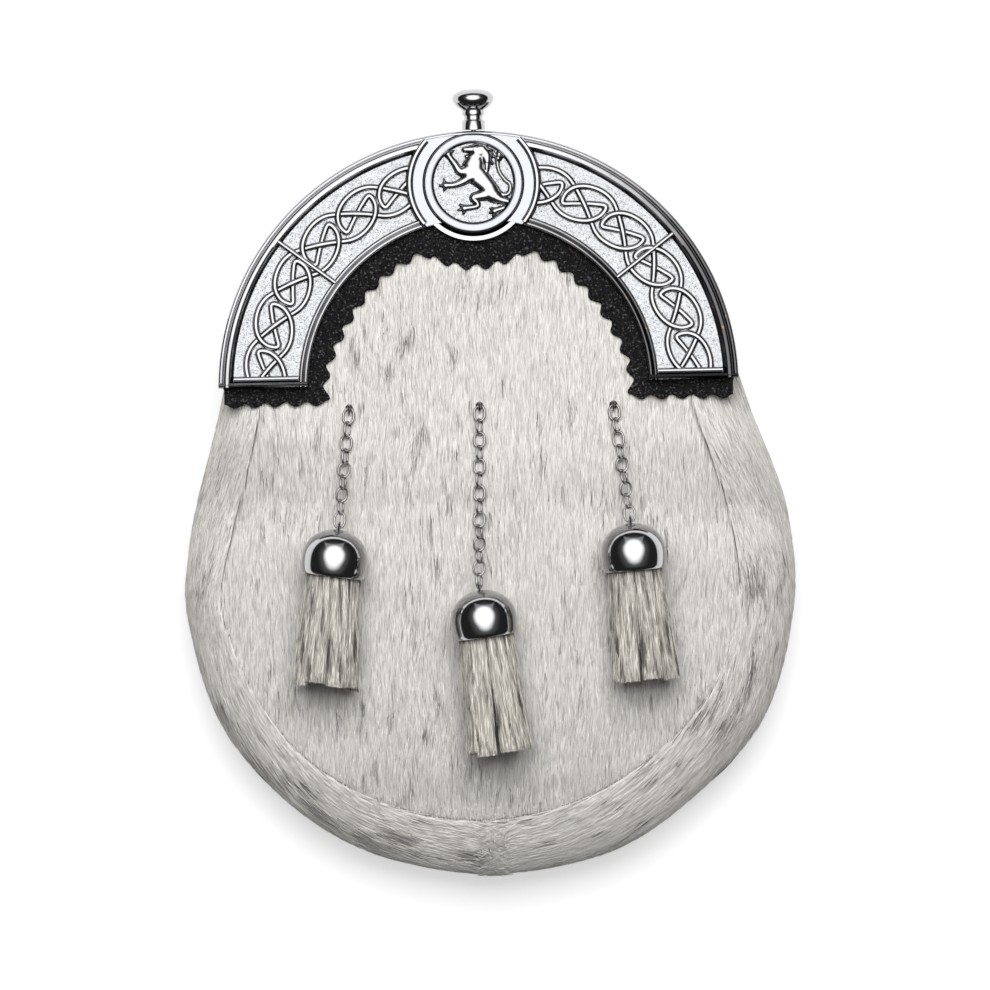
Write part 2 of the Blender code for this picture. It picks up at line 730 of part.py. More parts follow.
def leather_inner_edge():
    """From the right leg over the top to the left one: a widening arc with a dip under the medallion."""
    degrees = np.linspace(-7.6, 187.6, 900)
    reach = LEATHER_INNER[0] + LEATHER_INNER[1] * np.abs(np.cos(np.radians(degrees))) ** RADIAL_BOWING
    edge = polar(reach, degrees)
    spoke = edge - MEDALLION_CENTER
    distance = np.linalg.norm(spoke, axis=1, keepdims=True)
    return np.where(distance < LEATHER_DIP, MEDALLION_CENTER + spoke / distance * LEATHER_DIP, edge)


def scalloped(line, outward):
    """A line with bites, three points to each, cut back against the outward direction."""
    outward = np.broadcast_to(outward / np.linalg.norm(outward, axis=1, keepdims=True), line.shape)
    steps = np.linalg.norm(np.diff(line, axis=0), axis=1)
    distance = np.concatenate([[0], np.cumsum(steps)])
    count = 3 * round(distance[-1] / SCALLOP_PITCH) + 1
    at = np.linspace(0, distance[-1], count)
    rows = np.hstack([line, outward])
    rows = np.column_stack([np.interp(at, distance, column) for column in rows.T])
    depth = np.array([scallop(i * SCALLOP_PITCH / 3) for i in range(count)])
    return rows[:, :2] - rows[:, 2:] * depth[:, None]


def make_cantle_leather():
    outer = arch_point(1 - LEATHER_OUTER_INSET / (ARCH_OUTER[0] - ARCH_INNER[0]), np.linspace(180, 0, 33))
    inner = leather_inner_edge()
    edge = scalloped(inner, -inner)
    corner = ARCH_OUTER[0] - LEATHER_LEG_MARGIN
    right = np.array([[corner, LEATHER_END], [inner[0, 0], LEATHER_END]])
    left = np.array([[inner[-1, 0], LEATHER_END], [-corner, LEATHER_END]])
    down = np.array([[0.0, -1.0]])
    outline = np.vstack([outer, scalloped(right, down), edge[1:-1], scalloped(left, down)])
    leather = plate("cantle_leather", outline, 0, CANTLE_LEATHER)
    return move_points(leather, lay_on_front(GAP))


# ---------------------------------------------------------------- drops
def eye(name, radius):
    """A wire ring about the X axis, round the origin."""
    angles = np.linspace(0, 2 * np.pi, EYE_SEGMENTS, endpoint=False)
    points = [(0, radius * math.cos(a), radius * math.sin(a)) for a in angles]
    return wire(name, points, WIRE / 2, closed=True)


def make_staple(x, y):
    """An eye on a stem that goes through the front panel to a washer inside."""
    radius = EYE_INNER + WIRE / 2
    staple = eye("staple", radius)
    under = STAPLE_HEIGHT + HIDE + 2 * GAP
    stem = cylinder("stem", STAPLE_STEM, -under - 0.2, -radius + 0.1, 6)
    washer = cylinder("washer", STAPLE_WASHER[0], -under - STAPLE_WASHER[1], -under, 6)
    combine(staple, [stem])
    combine(staple, [washer])
    height = float(front_height(x, y)) + STAPLE_HEIGHT
    staple.data.transform(Matrix.Translation((x * MM, y * MM, height * MM)))
    return staple


def bell_axis(turn):
    """Towards the crown."""
    return Vector((math.sin(math.radians(turn)), math.cos(math.radians(turn)), 0))


def bell_frame(row):
    """Where the bell stands: its rim's centre, with +Z towards the crown."""
    eye_x, eye_y = row[4:6]
    axis = bell_axis(row[6])
    rim_x, rim_y = eye_x - axis.x * BELL_EYE_HEIGHT, eye_y - axis.y * BELL_EYE_HEIGHT
    widest = max(radius for radius, _ in BELL_PROFILE)
    ends = [float(front_height(x, y)) for x, y in ((rim_x, rim_y), (eye_x, eye_y))]
    height = max(ends) + GAP + widest + 0.15
    across = axis.cross(Vector((0, 0, 1)))
    rotation = Matrix((across, axis.cross(across), axis)).transposed().to_4x4()
    return Matrix.Translation((rim_x * MM, rim_y * MM, height * MM)) @ rotation


def chain_path(row):
    """The chain's middle line: along the front, then up to the bell's eye."""
    start, end = np.array(row[1:3]), np.array(row[4:6])
    share = np.linspace(0, 1, 200)
    place = start + (end - start) * share[:, None]
    length = np.linalg.norm(end - start)
    staple = front_height(*start) + STAPLE_HEIGHT
    bell = bell_frame(row).translation.z / MM
    rest = front_height(place[:, 0], place[:, 1]) + CHAIN_REST
    climb = np.clip(1 - (1 - share) * length / CHAIN_CLIMB, 0, 1)
    heights = rest + (bell - rest) * climb**2 * (3 - 2 * climb)
    begin = np.clip(share * length / CHAIN_START, 0, 1)
    return np.column_stack([place, heights * begin + staple * (1 - begin)])


def link_mesh(center, along, roll, pitch):
    """An oval link about a centre, with its length along a direction and its plane rolled about it."""
    along = Vector(along).normalized()
    side = along.cross(Vector((0, 0, 1))).normalized()
    side.rotate(Matrix.Rotation(math.radians(roll), 3, along))
    half_length = (pitch - LINK_OVERLAP + WIRE) / 2
    half_width = (LINK_WIDTH - WIRE) / 2
    half = np.array(LINK_OUTLINE)
    outline = np.vstack([half, -half]) * (half_length, half_width)
    points = [Vector(center) + along * u + side * v for u, v in outline.tolist()]
    return wire("link", points, WIRE / 2, closed=True)


def make_chain(row):
    links = row[3]
    path = chain_path(row)
    distance = np.concatenate([[0], np.cumsum(np.linalg.norm(np.diff(path, axis=0), axis=1))])
    pitch = distance[-1] / links
    made = []
    for number in range(links):
        middle = (number + 0.5) * pitch
        at = (middle - pitch / 2, middle + pitch / 2)
        first, last = np.column_stack([np.interp(at, distance, column) for column in path.T])
        roll = LINK_ROLL if number % 2 else -LINK_ROLL
        made.append(link_mesh((first + last) / 2, last - first, roll, pitch))
    return combine(made[0], made[1:])


def make_bell(row):
    top = BELL_PROFILE[0][1]
    inner = [(radius - BELL_WALL, height) for radius, height in BELL_INSIDE]
    profile = [(0, top), *BELL_PROFILE, *inner, (0, top - BELL_WALL)]
    bell = turned("bell", profile, BELL_SIDES)
    ring = eye("bell_eye", EYE_INNER + WIRE / 2)
    ring.data.transform(Matrix.Translation((0, 0, BELL_EYE_HEIGHT * MM)))
    combine(bell, [ring])
    bell.matrix_world = bell_frame(row)
    return bell


def loft(name, rings):
    """A closed solid through rings of as many points each."""
    sides = len(rings[0])
    points = np.vstack(rings)
    caps = [tuple(range(sides))[::-1], tuple(range(len(points) - sides, len(points)))]
    return recalculate(mesh_object(name, points, grid_faces(len(rings), sides, closed=True) + caps))


def tassel_ring(row, share, size):
    """The tassel's section at a share of its length: a centre that leans and sinks, and half sizes."""
    drop = share * row[8]
    lean = math.tan(math.radians(row[6] - row[7])) * drop
    half = np.array(TASSEL_TOP) * (1 - share) + np.array(TASSEL_BOTTOM) * share
    return np.array([lean, TASSEL_DROP * share, 1.0 - drop]), half * size


def make_tassel(row):
    """A rolled head inside the bell with strips that hang from it, all one piece."""
    radius, height = TASSEL_HEAD
    tassel = cylinder("tassel", radius, -2.0, height, 12)
    core = []
    for share in TASSEL_CORE_SHARES:
        center, half = tassel_ring(row, share, TASSEL_CORE)
        core.append(np.column_stack([polar(1.0, np.arange(0, 360, 45)) * half, np.zeros(8)]) + center)
    pieces = [loft("core", core)]
    corners = np.array([(-1, -1), (1, -1), (1, 1), (-1, 1)]) * (TASSEL_STRIP[0] / 2, TASSEL_STRIP[1] / 2)
    for number in range(TASSEL_STRIPS):
        around = 2 * math.pi * (number + 0.5) / TASSEL_STRIPS
        strip = []
        for share in (0.0, 1.0):
            center, half = tassel_ring(row, share, 1.0)
            tangent = np.array([-half[0] * math.sin(around), half[1] * math.cos(around)])
            tangent /= np.linalg.norm(tangent)
            place = half * (math.cos(around), math.sin(around))
            flat = place + corners[:, :1] * tangent + corners[:, 1:] * (tangent[1], -tangent[0])
            strip.append(np.column_stack([flat, np.zeros(4)]) + center)
        pieces.append(loft("strip", strip))
    combine(tassel, pieces)
    tassel.matrix_world = bell_frame(row)
    return tassel


hide = material("hide", HIDE_COLOR, 0.85, 0.0)
tassel_hide = material("tassel_hide", (0.6, 0.55, 0.48, 1.0), 0.8, 0.0)
leather = material("black_leather", LEATHER_COLOR, 0.45, 0.0)
chrome = material("chrome", CHROME_COLOR, 0.12, 1.0)

finish(make_front_panel(), "front_panel", hide)
finish(make_gusset(), "gusset", hide)
finish(make_back_panel(), "back_panel", leather)
for place, side in zip(LOOP_X, ("left", "right")):
    finish(make_belt_loop(place), f"belt_loop_{side}", leather)
finish(make_cantle_leather(), "cantle_leather", leather)
finish(make_cantle(), "cantle", chrome)
finish(make_knob(), "top_knob", chrome)
for drop in DROP_TABLE:
    finish(make_staple(drop[1], drop[2]), f"staple_{drop[0]}", chrome)
    finish(make_chain(drop), f"chain_{drop[0]}", chrome)
    finish(make_bell(drop), f"bell_{drop[0]}", chrome)
    finish(make_tassel(drop), f"tassel_{drop[0]}", tassel_hide)
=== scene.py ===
"""The looks of a dress sporran that lies on its back on a white table.

Each section makes one piece, or a group of like pieces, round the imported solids: its sizes, its shape, its
finish and how it joins the rest. Sizes are in mm, +Y runs towards the knob and +Z out of the front.
"""

import math

import bpy
import numpy as np
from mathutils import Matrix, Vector


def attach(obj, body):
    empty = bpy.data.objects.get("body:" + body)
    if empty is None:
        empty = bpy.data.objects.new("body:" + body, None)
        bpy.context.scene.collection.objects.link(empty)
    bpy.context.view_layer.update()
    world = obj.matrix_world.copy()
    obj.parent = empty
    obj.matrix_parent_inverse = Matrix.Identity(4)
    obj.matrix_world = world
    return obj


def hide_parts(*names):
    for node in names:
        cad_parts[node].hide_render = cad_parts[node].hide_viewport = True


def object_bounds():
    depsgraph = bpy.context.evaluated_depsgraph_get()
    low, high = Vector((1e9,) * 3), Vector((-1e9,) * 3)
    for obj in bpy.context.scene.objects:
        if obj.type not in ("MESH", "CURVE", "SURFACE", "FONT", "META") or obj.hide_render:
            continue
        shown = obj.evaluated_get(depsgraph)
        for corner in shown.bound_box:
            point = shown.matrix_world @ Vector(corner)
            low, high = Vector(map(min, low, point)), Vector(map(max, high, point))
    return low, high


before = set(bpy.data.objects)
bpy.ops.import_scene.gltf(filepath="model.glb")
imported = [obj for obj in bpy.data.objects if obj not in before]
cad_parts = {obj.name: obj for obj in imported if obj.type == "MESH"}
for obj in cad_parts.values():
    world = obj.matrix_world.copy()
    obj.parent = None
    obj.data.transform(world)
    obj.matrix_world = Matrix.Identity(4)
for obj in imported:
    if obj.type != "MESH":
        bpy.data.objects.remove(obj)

cad_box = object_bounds()

# ------------------------------------------------------------------ table, camera and light
# A matt white table glows faintly under a soft light beyond the knob. The plated parts mirror the dark room
# itself: a bright round field that fades to grey, a dim grey wall beyond it, and black at the near side. The
# camera looks straight down through a long lens.
MM = 0.001
CAMERA_OVER = (0.94, -3.44)
CAMERA_DISTANCE = 2500.0
FRONT_LEVEL = 30.0
FRAME_WIDTH = 309.4  # what the picture takes in at the level of the front
TABLE_HALF = 6000.0
TABLE_COLOR = (0.45, 0.45, 0.45, 1.0)
TABLE_GLOW = 0.56
SOFTBOX_SIZE = (900.0, 700.0)
SOFTBOX_DISTANCE = 1000.0
SOFTBOX_TILT = 23.0  # degrees from overhead
SOFTBOX_BRIGHTNESS = 7.3
BACKDROP = 0.9  # what the camera sees past the table
ROOM_LIGHT = 0.025
ROOM_ON_MATT = 0.16  # how much of what chrome mirrors also lights the matt surfaces
FIELD_TILT = 19.0  # its middle, in degrees from overhead
FIELD_BRIGHTNESS = 2.0
FIELD_EDGES = (42.0, 22.0)  # how far out it is gone and begins to fade, in degrees
HALO_BRIGHTNESS = 0.12
HALO_EDGES = (62.0, 30.0)
WALL_BRIGHTNESS = 0.32
WALL_TILTS = (40.0, 60.0)
WALL_HALF_WIDTH = 26.0
WALL_FADE = (0.03, 0.04)  # how softly it ends, beyond and to the sides


class Signal:
    """A value in a material. Arithmetic with another value or a number adds its Math nodes."""

    def __init__(self, shading, socket):
        self.shading = shading
        self.socket = socket

    def math(self, operation, *values):
        """The Math node of this operation on the values, or on this one alone."""
        numbers = dict(enumerate(values or (self,)))
        return self.shading.node("Math", {"operation": operation}, numbers)

    def __add__(self, other):
        return self.math("ADD", self, other)

    def __sub__(self, other):
        return self.math("SUBTRACT", self, other)

    def __mul__(self, other):
        return self.math("MULTIPLY", self, other)

    def __rsub__(self, other):
        return self.math("SUBTRACT", other, self)

    __radd__ = __add__
    __rmul__ = __mul__

    def between(self, low, high):
        """0 below low and 1 above high, with a smooth step between, or the other way round if low > high."""
        flip = low > high
        low, high = sorted((low, high))
        ends = {"Value": self, "From Min": low, "From Max": high, "To Min": flip, "To Max": not flip}
        return self.shading.node("MapRange", {"interpolation_type": "SMOOTHSTEP"}, ends)


class Shading:
    """A shader tree, whose nodes are added by their type."""

    def __init__(self, tree):
        self.tree = tree

    def node(self, kind, settings=None, sockets=None, output=0):
        """A node of this type: its settings first, then the values or links of its sockets."""
        new = self.tree.nodes.new("ShaderNode" + kind)
        for name, value in (settings or {}).items():
            setattr(new, name, value)
        for name, value in (sockets or {}).items():
            self.connect(new.inputs[name], value)
        return Signal(self, new.outputs[output])

    def connect(self, socket, value):
        """Links a signal to the socket, or sets the socket to a number, a vector or a colour."""
        if isinstance(value, Signal):
            self.tree.links.new(value.socket, socket)
        else:
            socket.default_value = value

    def dot(self, first, second):
        """The dot product of two vectors."""
        vectors = {0: first, 1: second}
        return self.node("VectorMath", {"operation": "DOT_PRODUCT"}, vectors, output="Value")


class Finish(Shading):
    """A material in the making, with its Principled shader."""

    def __init__(self, name, **constants):
        self.material = bpy.data.materials.new(name)
        self.material.use_nodes = True
        super().__init__(self.material.node_tree)
        self.shader = self.tree.nodes["Principled BSDF"]
        for socket, value in constants.items():
            self.shader.inputs[socket.replace("_", " ")].default_value = value

    def place(self):
        """Object coordinates in mm."""
        sockets = {"Vector": self.node("TexCoord", output="Object"), "Scale": [1 / MM] * 3}
        return self.node("Mapping", None, sockets)

    def noise(self, size, detail=2.0):
        """Fractal noise from 0 to 1 whose main swellings are about this many mm long."""
        sockets = {"Vector": self.place(), "Scale": 1.0 / size, "Detail": detail}
        return self.node("TexNoise", None, sockets)

    def mixed(self, share, first, second):
        """From the first colour at 0 to the second at 1. The node's sockets 6, 7 and output 2 are colours."""
        return self.node("Mix", {"data_type": "RGBA"}, {"Factor": share, 6: first, 7: second}, output=2)

    def set(self, **signals):
        """Feeds the shader's sockets, named with _ for a space."""
        for socket, signal in signals.items():
            self.connect(self.shader.inputs[socket.replace("_", " ")], signal)

    def bump(self, height, distance):
        """Raises the surface by the height, from 0 to 1, times this many mm."""
        self.set(Normal=self.node("Bump", None, {"Height": height, "Distance": distance * MM}))


def mesh_from(name, points, *groups):
    """A mesh from points in mm and arrays of faces, each array with as many corners to a face."""
    mesh = bpy.data.meshes.new(name)
    corners = np.concatenate([faces.ravel() for faces in groups])
    sides = np.concatenate([np.full(len(faces), faces.shape[1]) for faces in groups])
    mesh.vertices.add(len(points))
    mesh.vertices.foreach_set("co", (points * MM).astype(np.float32).ravel())
    mesh.loops.add(len(corners))
    mesh.loops.foreach_set("vertex_index", corners.astype(np.int32))
    mesh.polygons.add(len(sides))
    mesh.polygons.foreach_set("loop_start", (np.cumsum(sides) - sides).astype(np.int32))
    mesh.update(calc_edges=True)
    return mesh


def piece(name, points, groups, finish, slot=None, stands_for=(), smooth_angle=None):
    """An object at the origin that rides on the part's only body and stands for these solids. Its edges are
    sharp past the smooth angle, in degrees."""
    mesh = mesh_from(name, points, *groups)
    mesh.materials.append(finish.material)
    mesh.shade_smooth()
    if smooth_angle is not None:
        mesh.set_sharp_from_angle(angle=math.radians(smooth_angle))
    made = bpy.data.objects.new(name, mesh)
    bpy.context.scene.collection.objects.link(made)
    if slot:
        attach(made, "root")
    if stands_for:
        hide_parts(*stands_for)
    return made


table_finish = Finish("white_table", Base_Color=TABLE_COLOR, Roughness=0.6, Emission_Color=(1, 1, 1, 1),
                      Emission_Strength=TABLE_GLOW)
table_corners = np.array([(-1, -1, 0), (1, -1, 0), (1, 1, 0), (-1, 1, 0)]) * TABLE_HALF
piece("table", table_corners, [np.array([[0, 1, 2, 3]])], table_finish)

lens = bpy.data.cameras.new("camera")
lens.lens = lens.sensor_width * CAMERA_DISTANCE / FRAME_WIDTH
camera = bpy.data.objects.new("camera", lens)
camera.location = Vector((*CAMERA_OVER, FRONT_LEVEL + CAMERA_DISTANCE)) * MM
bpy.context.scene.collection.objects.link(camera)
bpy.context.scene.camera = camera


def overhead(degrees):
    """The direction this far from overhead, towards the knob's side."""
    return Vector((0.0, math.sin(math.radians(degrees)), math.cos(math.radians(degrees))))


lamp = bpy.data.lights.new("softbox", "AREA")
lamp.shape = "RECTANGLE"
lamp.size, lamp.size_y = (side * MM for side in SOFTBOX_SIZE)
lamp.energy = SOFTBOX_BRIGHTNESS * math.pi * lamp.size * lamp.size_y  # in watts
softbox = bpy.data.objects.new("softbox", lamp)
softbox.rotation_euler.x = -math.radians(SOFTBOX_TILT)
softbox.location = overhead(SOFTBOX_TILT) * SOFTBOX_DISTANCE * MM
softbox.visible_camera = False
softbox.visible_glossy = False
bpy.context.scene.collection.objects.link(softbox)

room = bpy.data.worlds.new("room")
room.use_nodes = True
bpy.context.scene.world = room
sky = Shading(room.node_tree)
heading = sky.node("TexCoord", output="Generated")


def lobe(tilt, edges):
    """1 round a direction and 0 far from it, by the cosine of the angle between them."""
    return sky.dot(heading, overhead(tilt)).between(*(math.cos(math.radians(edge)) for edge in edges))


across = sky.node("SeparateXYZ", None, {"Vector": heading}, output="X").math("ABSOLUTE")
beyond = sky.node("SeparateXYZ", None, {"Vector": heading}, output="Y")
near_edge, far_edge, side_edge = (math.sin(math.radians(tilt)) for tilt in (*WALL_TILTS, WALL_HALF_WIDTH))
wall = beyond.between(near_edge, near_edge + WALL_FADE[0]) * beyond.between(far_edge + WALL_FADE[0], far_edge)
wall = wall * across.between(side_edge + WALL_FADE[1], side_edge)
light = lobe(FIELD_TILT, FIELD_EDGES) * FIELD_BRIGHTNESS + lobe(FIELD_TILT, HALO_EDGES) * HALO_BRIGHTNESS
light = light + wall * WALL_BRIGHTNESS + ROOM_LIGHT
seen = sky.node("LightPath", output="Is Camera Ray")
matt = sky.node("LightPath", output="Is Diffuse Ray")
light = light * (1.0 - matt * (1.0 - ROOM_ON_MATT)) * (1.0 - seen) + seen * BACKDROP
sky.connect(room.node_tree.nodes["Background"].inputs["Strength"], light)
room.node_tree.nodes["Background"].inputs["Color"].default_value = (1.0, 1.0, 1.0, 1.0)
bpy.context.scene.view_settings.view_transform = "Standard"

# ------------------------------------------------------------------ front panel
# One piece of hide with its hair on, domed by what the pouch holds. It runs up behind the arch, and its
# hair lies straight down. The hair is short, pale and straight, with dark tips in small smudges.
HIDE = 2.4
SEAM_TABLE = (
    # the panel's edge and the gusset's widest line beside it: seam_x, seam_y, side_x, side_y
    (-72.0, 50.0, -80.0, 52.0),
    (-72.5, 22.0, -84.5, 24.0),
    (-80.5, -13.0, -93.4, -14.0),
    (-84.4, -36.0, -94.6, -41.0),
    (-75.0, -64.0, -84.9, -73.5),
    (-57.0, -86.5, -63.8, -99.1),
    (-30.0, -101.0, -35.9, -115.5),
    (0.0, -104.8, 0.5, -121.6),
    (30.0, -97.5, 37.3, -114.3),
    (55.0, -80.5, 64.9, -95.8),
    (71.0, -58.5, 85.7, -70.2),
    (76.9, -31.0, 94.0, -36.0),
    (73.0, -5.0, 91.0, -5.0),
    (62.5, 26.0, 79.5, 26.0),
    (62.0, 50.0, 71.0, 52.0),
)
SEAM = [row[:2] for row in SEAM_TABLE]
FRONT_TOP = [(47.0, 86.0), (-4.0, 103.5), (-54.0, 86.0)]
FRONT_MIDDLE = (-3.0, -8.0)
FRONT_PROFILE = (
    # y, height of the middle line
    (-125, 24.0), (-105, 28.5), (-85, 33.0), (-60, 36.0), (-30, 37.2), (0, 36.4), (20, 34.1), (125, 18.8),
)
BOW_SHARE = ((-125, 1.0), (-12, 1.0), (20, 0.0), (125, 0.0))  # y, how much of the crosswise bow there is
BOW_RADIUS = 475.0
DISC_HOLE = 0.03  # share of the way out at which a disc's first ring lies
OUTLINE_STEPS = 720
ARCH_CENTER = (-4.2, 30.9)
OPENING = 46.5  # radius of what the arch leaves open, which flares towards the legs
OPENING_FLARE = 3.0
OPENING_FLOOR = -4.0


def smooth_value(table, at):
    """Monotone cubic through the rows (place, value) of a table: Hermite spans with harmonic-mean slopes."""
    known, values = np.array(table, float).T
    rises = np.diff(values) / np.diff(known)
    before, after = rises[:-1], rises[1:]
    both = np.where(before * after > 0, before * after, 0)
    slopes = np.concatenate([[rises[0]], 2 * both / np.where(both > 0, before + after, 1), [rises[-1]]])
    at = np.clip(np.asarray(at, float), known[0], known[-1])
    i = np.clip(np.searchsorted(known, at) - 1, 0, len(known) - 2)
    span = known[i + 1] - known[i]
    t = (at - known[i]) / span
    ends = (2 * t**3 - 3 * t**2 + 1) * values[i] + (3 * t**2 - 2 * t**3) * values[i + 1]
    return ends + (t**3 - 2 * t**2 + t) * span * slopes[i] + (t**3 - t**2) * span * slopes[i + 1]


def spline(rows, at):
    """Catmull-Rom curve through rows, at places counted in rows from the second one, which is 0."""
    rows = np.asarray(rows, float)
    i = np.clip(np.floor(at).astype(int), 0, len(rows) - 4)
    t = (at - i)[..., None]
    a, b, c, d = (rows[i + k] for k in range(4))
    return 0.5 * (2 * b + (c - a) * t + (2 * a - 5 * b + 4 * c - d) * t**2 + (3 * b - a - 3 * c + d) * t**3)


def front_height(x, y):
    """The middle line's height less the crosswise bow, x squared over twice its radius."""
    return smooth_value(FRONT_PROFILE, y) - smooth_value(BOW_SHARE, y) * np.square(x) / (2 * BOW_RADIUS)


def raised(place, height):
    """Points with this height over their places in the plane."""
    return np.concatenate([place, np.broadcast_to(height, place.shape[:-1])[..., None]], axis=-1)


def front_edge(around):
    """The panel's outline, once round as around goes from 0 to 1."""
    rows = SEAM + FRONT_TOP
    return spline(rows[-1:] + rows + rows[:2], around % 1.0 * len(rows))


def disc_grid(rings, spokes):
    """The ways out and round of a disc's points: its rings from the hole out, and its spokes."""
    return np.linspace(DISC_HOLE, 1, rings)[:, None], np.linspace(0, 1, spokes, endpoint=False)


def spread(middle, edge, out):
    """Places from the middle straight out to the edge, which they reach at 1."""
    return middle + (edge - middle) * out[..., None]


def front_surface(out, around):
    """From the middle straight out to the outline, at the front's height."""
    place = spread(FRONT_MIDDLE, front_edge(around), out)
    return raised(place, front_height(place[..., 0], place[..., 1]))


def loft(rings, ends="fan"):
    """Points and faces through rings of as many points each. ends says how it closes: a fan to a middle point
    at each end, a ladder between the ring's two halves, or a loop back to the first ring. The faces are
    turned outwards by the sign of the volume that they enclose."""
    count, sides = rings.shape[:2]
    points = rings.reshape(-1, 3)
    row = np.arange(count if ends == "loop" else count - 1)[:, None] * sides
    this, after = np.arange(sides), (np.arange(sides) + 1) % sides
    above = (row + sides) % (count * sides)
    groups = [np.stack([row + this, row + after, above + after, above + this], axis=-1).reshape(-1, 4)]
    last = (count - 1) * sides
    if ends == "fan":
        points = np.vstack([points, rings[0].mean(0), rings[-1].mean(0)])
        low = np.column_stack([after, this, np.full(sides, count * sides)])
        high = np.column_stack([last + this, last + after, np.full(sides, count * sides + 1)])
        groups.append(np.vstack([low, high]))
    if ends == "ladder":
        step = np.arange(sides // 2 - 1)
        rungs = np.column_stack([step, sides - 1 - step, sides - 2 - step, step + 1])
        groups[0] = np.vstack([groups[0], rungs, last + rungs[:, ::-1]])
    return outwards(points, groups)


def outwards(points, groups):
    """The solid, its faces turned round if its volume is negative: the sum of its triangles' determinants."""
    centered = points - points.mean(0)
    volume = 0.0
    for faces in groups:
        for k in range(1, faces.shape[1] - 1):
            volume += np.linalg.det(centered[faces[:, [0, k, k + 1]]]).sum()
    return points, [faces[:, ::-1] if volume < 0 else faces for faces in groups]


def shell(top, under):
    """A closed wall between two discs, each given as rings from its middle out."""
    return loft(np.concatenate([top, under[::-1]]))


def scatter(surface, count, rng, cells=(150, 300)):
    """Random places on a surface, as many to the square millimetre everywhere: cells are drawn by area."""
    u, v = np.meshgrid(*[np.linspace(0, 1, n + 1) for n in cells], indexing="ij")
    points = surface(u, v)
    corner = points[:-1, :-1]
    area = np.linalg.norm(np.cross(points[1:, :-1] - corner, points[:-1, 1:] - corner), axis=-1)
    picked = rng.choice(area.size, count, p=area.ravel() / area.sum())
    row, column = np.divmod(picked, cells[1])
    return (row + rng.random(count)) / cells[0], (column + rng.random(count)) / cells[1]


def unit(vectors):
    """The vectors over their lengths."""
    return vectors / np.linalg.norm(vectors, axis=-1, keepdims=True)


def on_surface(surface, u, v, step=1e-3):
    """Points, unit tangents along u and v, and unit normals, from differences a small step either way."""
    along_u = unit(surface(u + step, v) - surface(u - step, v))
    along_v = unit(surface(u, v + step) - surface(u, v - step))
    return surface(u, v), along_u, along_v, unit(np.cross(along_u, along_v))


def ripple(places, size, seed, waves=7):
    """A smooth random field between about -1 and 1: a sum of waves with random headings, about this long."""
    rng = np.random.default_rng(seed)
    heading = rng.normal(size=(waves, places.shape[-1]))
    phase = rng.random(waves) * 2 * np.pi
    steps = rng.uniform(0.6, 1.6, waves)[:, None] * unit(heading) * 2 * np.pi / size
    return np.sin(places @ steps.T + phase).sum(-1) / math.sqrt(waves)


FRONT_HAIRS = 49000  # in each of its two coats
SPARE_HAIRS = 1.5  # how many are sown for each that grows, because the arch covers many
FRONT_COATS = (
    # name, lift, and the ripples of its hairs: reach in radians, size, seed
    ("front_hair_under", 0.35, (0.05, 40, 5), (0.04, 11, 3)),
    ("front_hair_over", 0.6, (0.05, 40, 5), (0.04, 11, 4)),
)
FRONT_HAIR_LENGTHS = (6.0, 11.0)
FRONT_HAIR_WIDTHS = (0.14, 0.27)
LIFT_SPREAD = (0.6, 1.3)  # how unevenly hairs rise
STRAYING = 0.05  # of single hairs, in radians
SEAM_SLANT = 0.35  # the least share of a hair's way that counts as outward, where the seam cuts it off
SHORTEST_HAIR = 1.2
HAIR_RISE = 1.15  # height of its tip over the skin, by that of its widest line
HAIR_WIDEST = 0.4  # share of the length at which a hair is widest and bends down
TABLE_ROOM = 0.1
HAIR_FACES = np.array([(0, 3, 1), (0, 2, 3), (0, 1, 2), (3, 2, 1)])
HAIR_CELL = np.array([(0.5, 0.08), (0.08, 0.45), (0.92, 0.45), (0.5, 0.92)])  # where its corners are painted
hair_finish = Finish("hair", Roughness=0.45)
hair_finish.set(Base_Color=hair_finish.node("Attribute", {"attribute_name": "hair_color"}))


def coat(name, root, up, along, length, width, lift, colors, slot="hide", sag=0.0, bend=1.0):
    """A coat of hair. Each hair is a slim closed leaf of four corners: root, left, right and tip. It rises by
    its lift times bend at its widest line and times HAIR_RISE at the tip, less what the skin curves away.
    colors holds one row each for root, middle and tip. Its corners lie in a small cell of their own in the
    painted map."""
    side = unit(np.cross(up, along))
    middle = root + along * (HAIR_WIDEST * length)[:, None]
    middle = middle + up * (lift * bend - sag * HAIR_WIDEST**2)[:, None]
    tip = root + along * length[:, None] + up * (lift * HAIR_RISE - sag)[:, None]
    across = side * (width / 2)[:, None]
    points = np.stack([root, middle - across, middle + across, tip], axis=1).reshape(-1, 3)
    points[:, 2] = np.maximum(points[:, 2], TABLE_ROOM)
    count = len(root)
    faces = (HAIR_FACES + 4 * np.arange(count)[:, None, None]).reshape(-1, 3)
    mesh = piece(name, points, [faces], hair_finish, slot, smooth_angle=0).data
    shades = np.ones((count, 4, 4), np.float32)
    shades[:, :, :3] = np.stack([colors[0], colors[1], colors[1], colors[2]], axis=1)
    tint = mesh.attributes.new("hair_color", "FLOAT_COLOR", "POINT")
    tint.data.foreach_set("color", shades.ravel())
    order = np.argsort(np.argsort(shades[:, 1, 0]))  # neighbours in the map have like tones
    cells = math.ceil(math.sqrt(count))
    corner = np.stack([order % cells, order // cells], axis=-1)[:, None, None] + HAIR_CELL[HAIR_FACES]
    mesh.uv_layers.new(name="OFBake").data.foreach_set("uv", (corner / cells).astype(np.float32).ravel())


def tangent_part(direction, up):
    """The direction laid into the surface, at unit length."""
    direction = np.broadcast_to(np.asarray(direction, float), up.shape)
    return unit(direction - (direction * up).sum(-1, keepdims=True) * up)


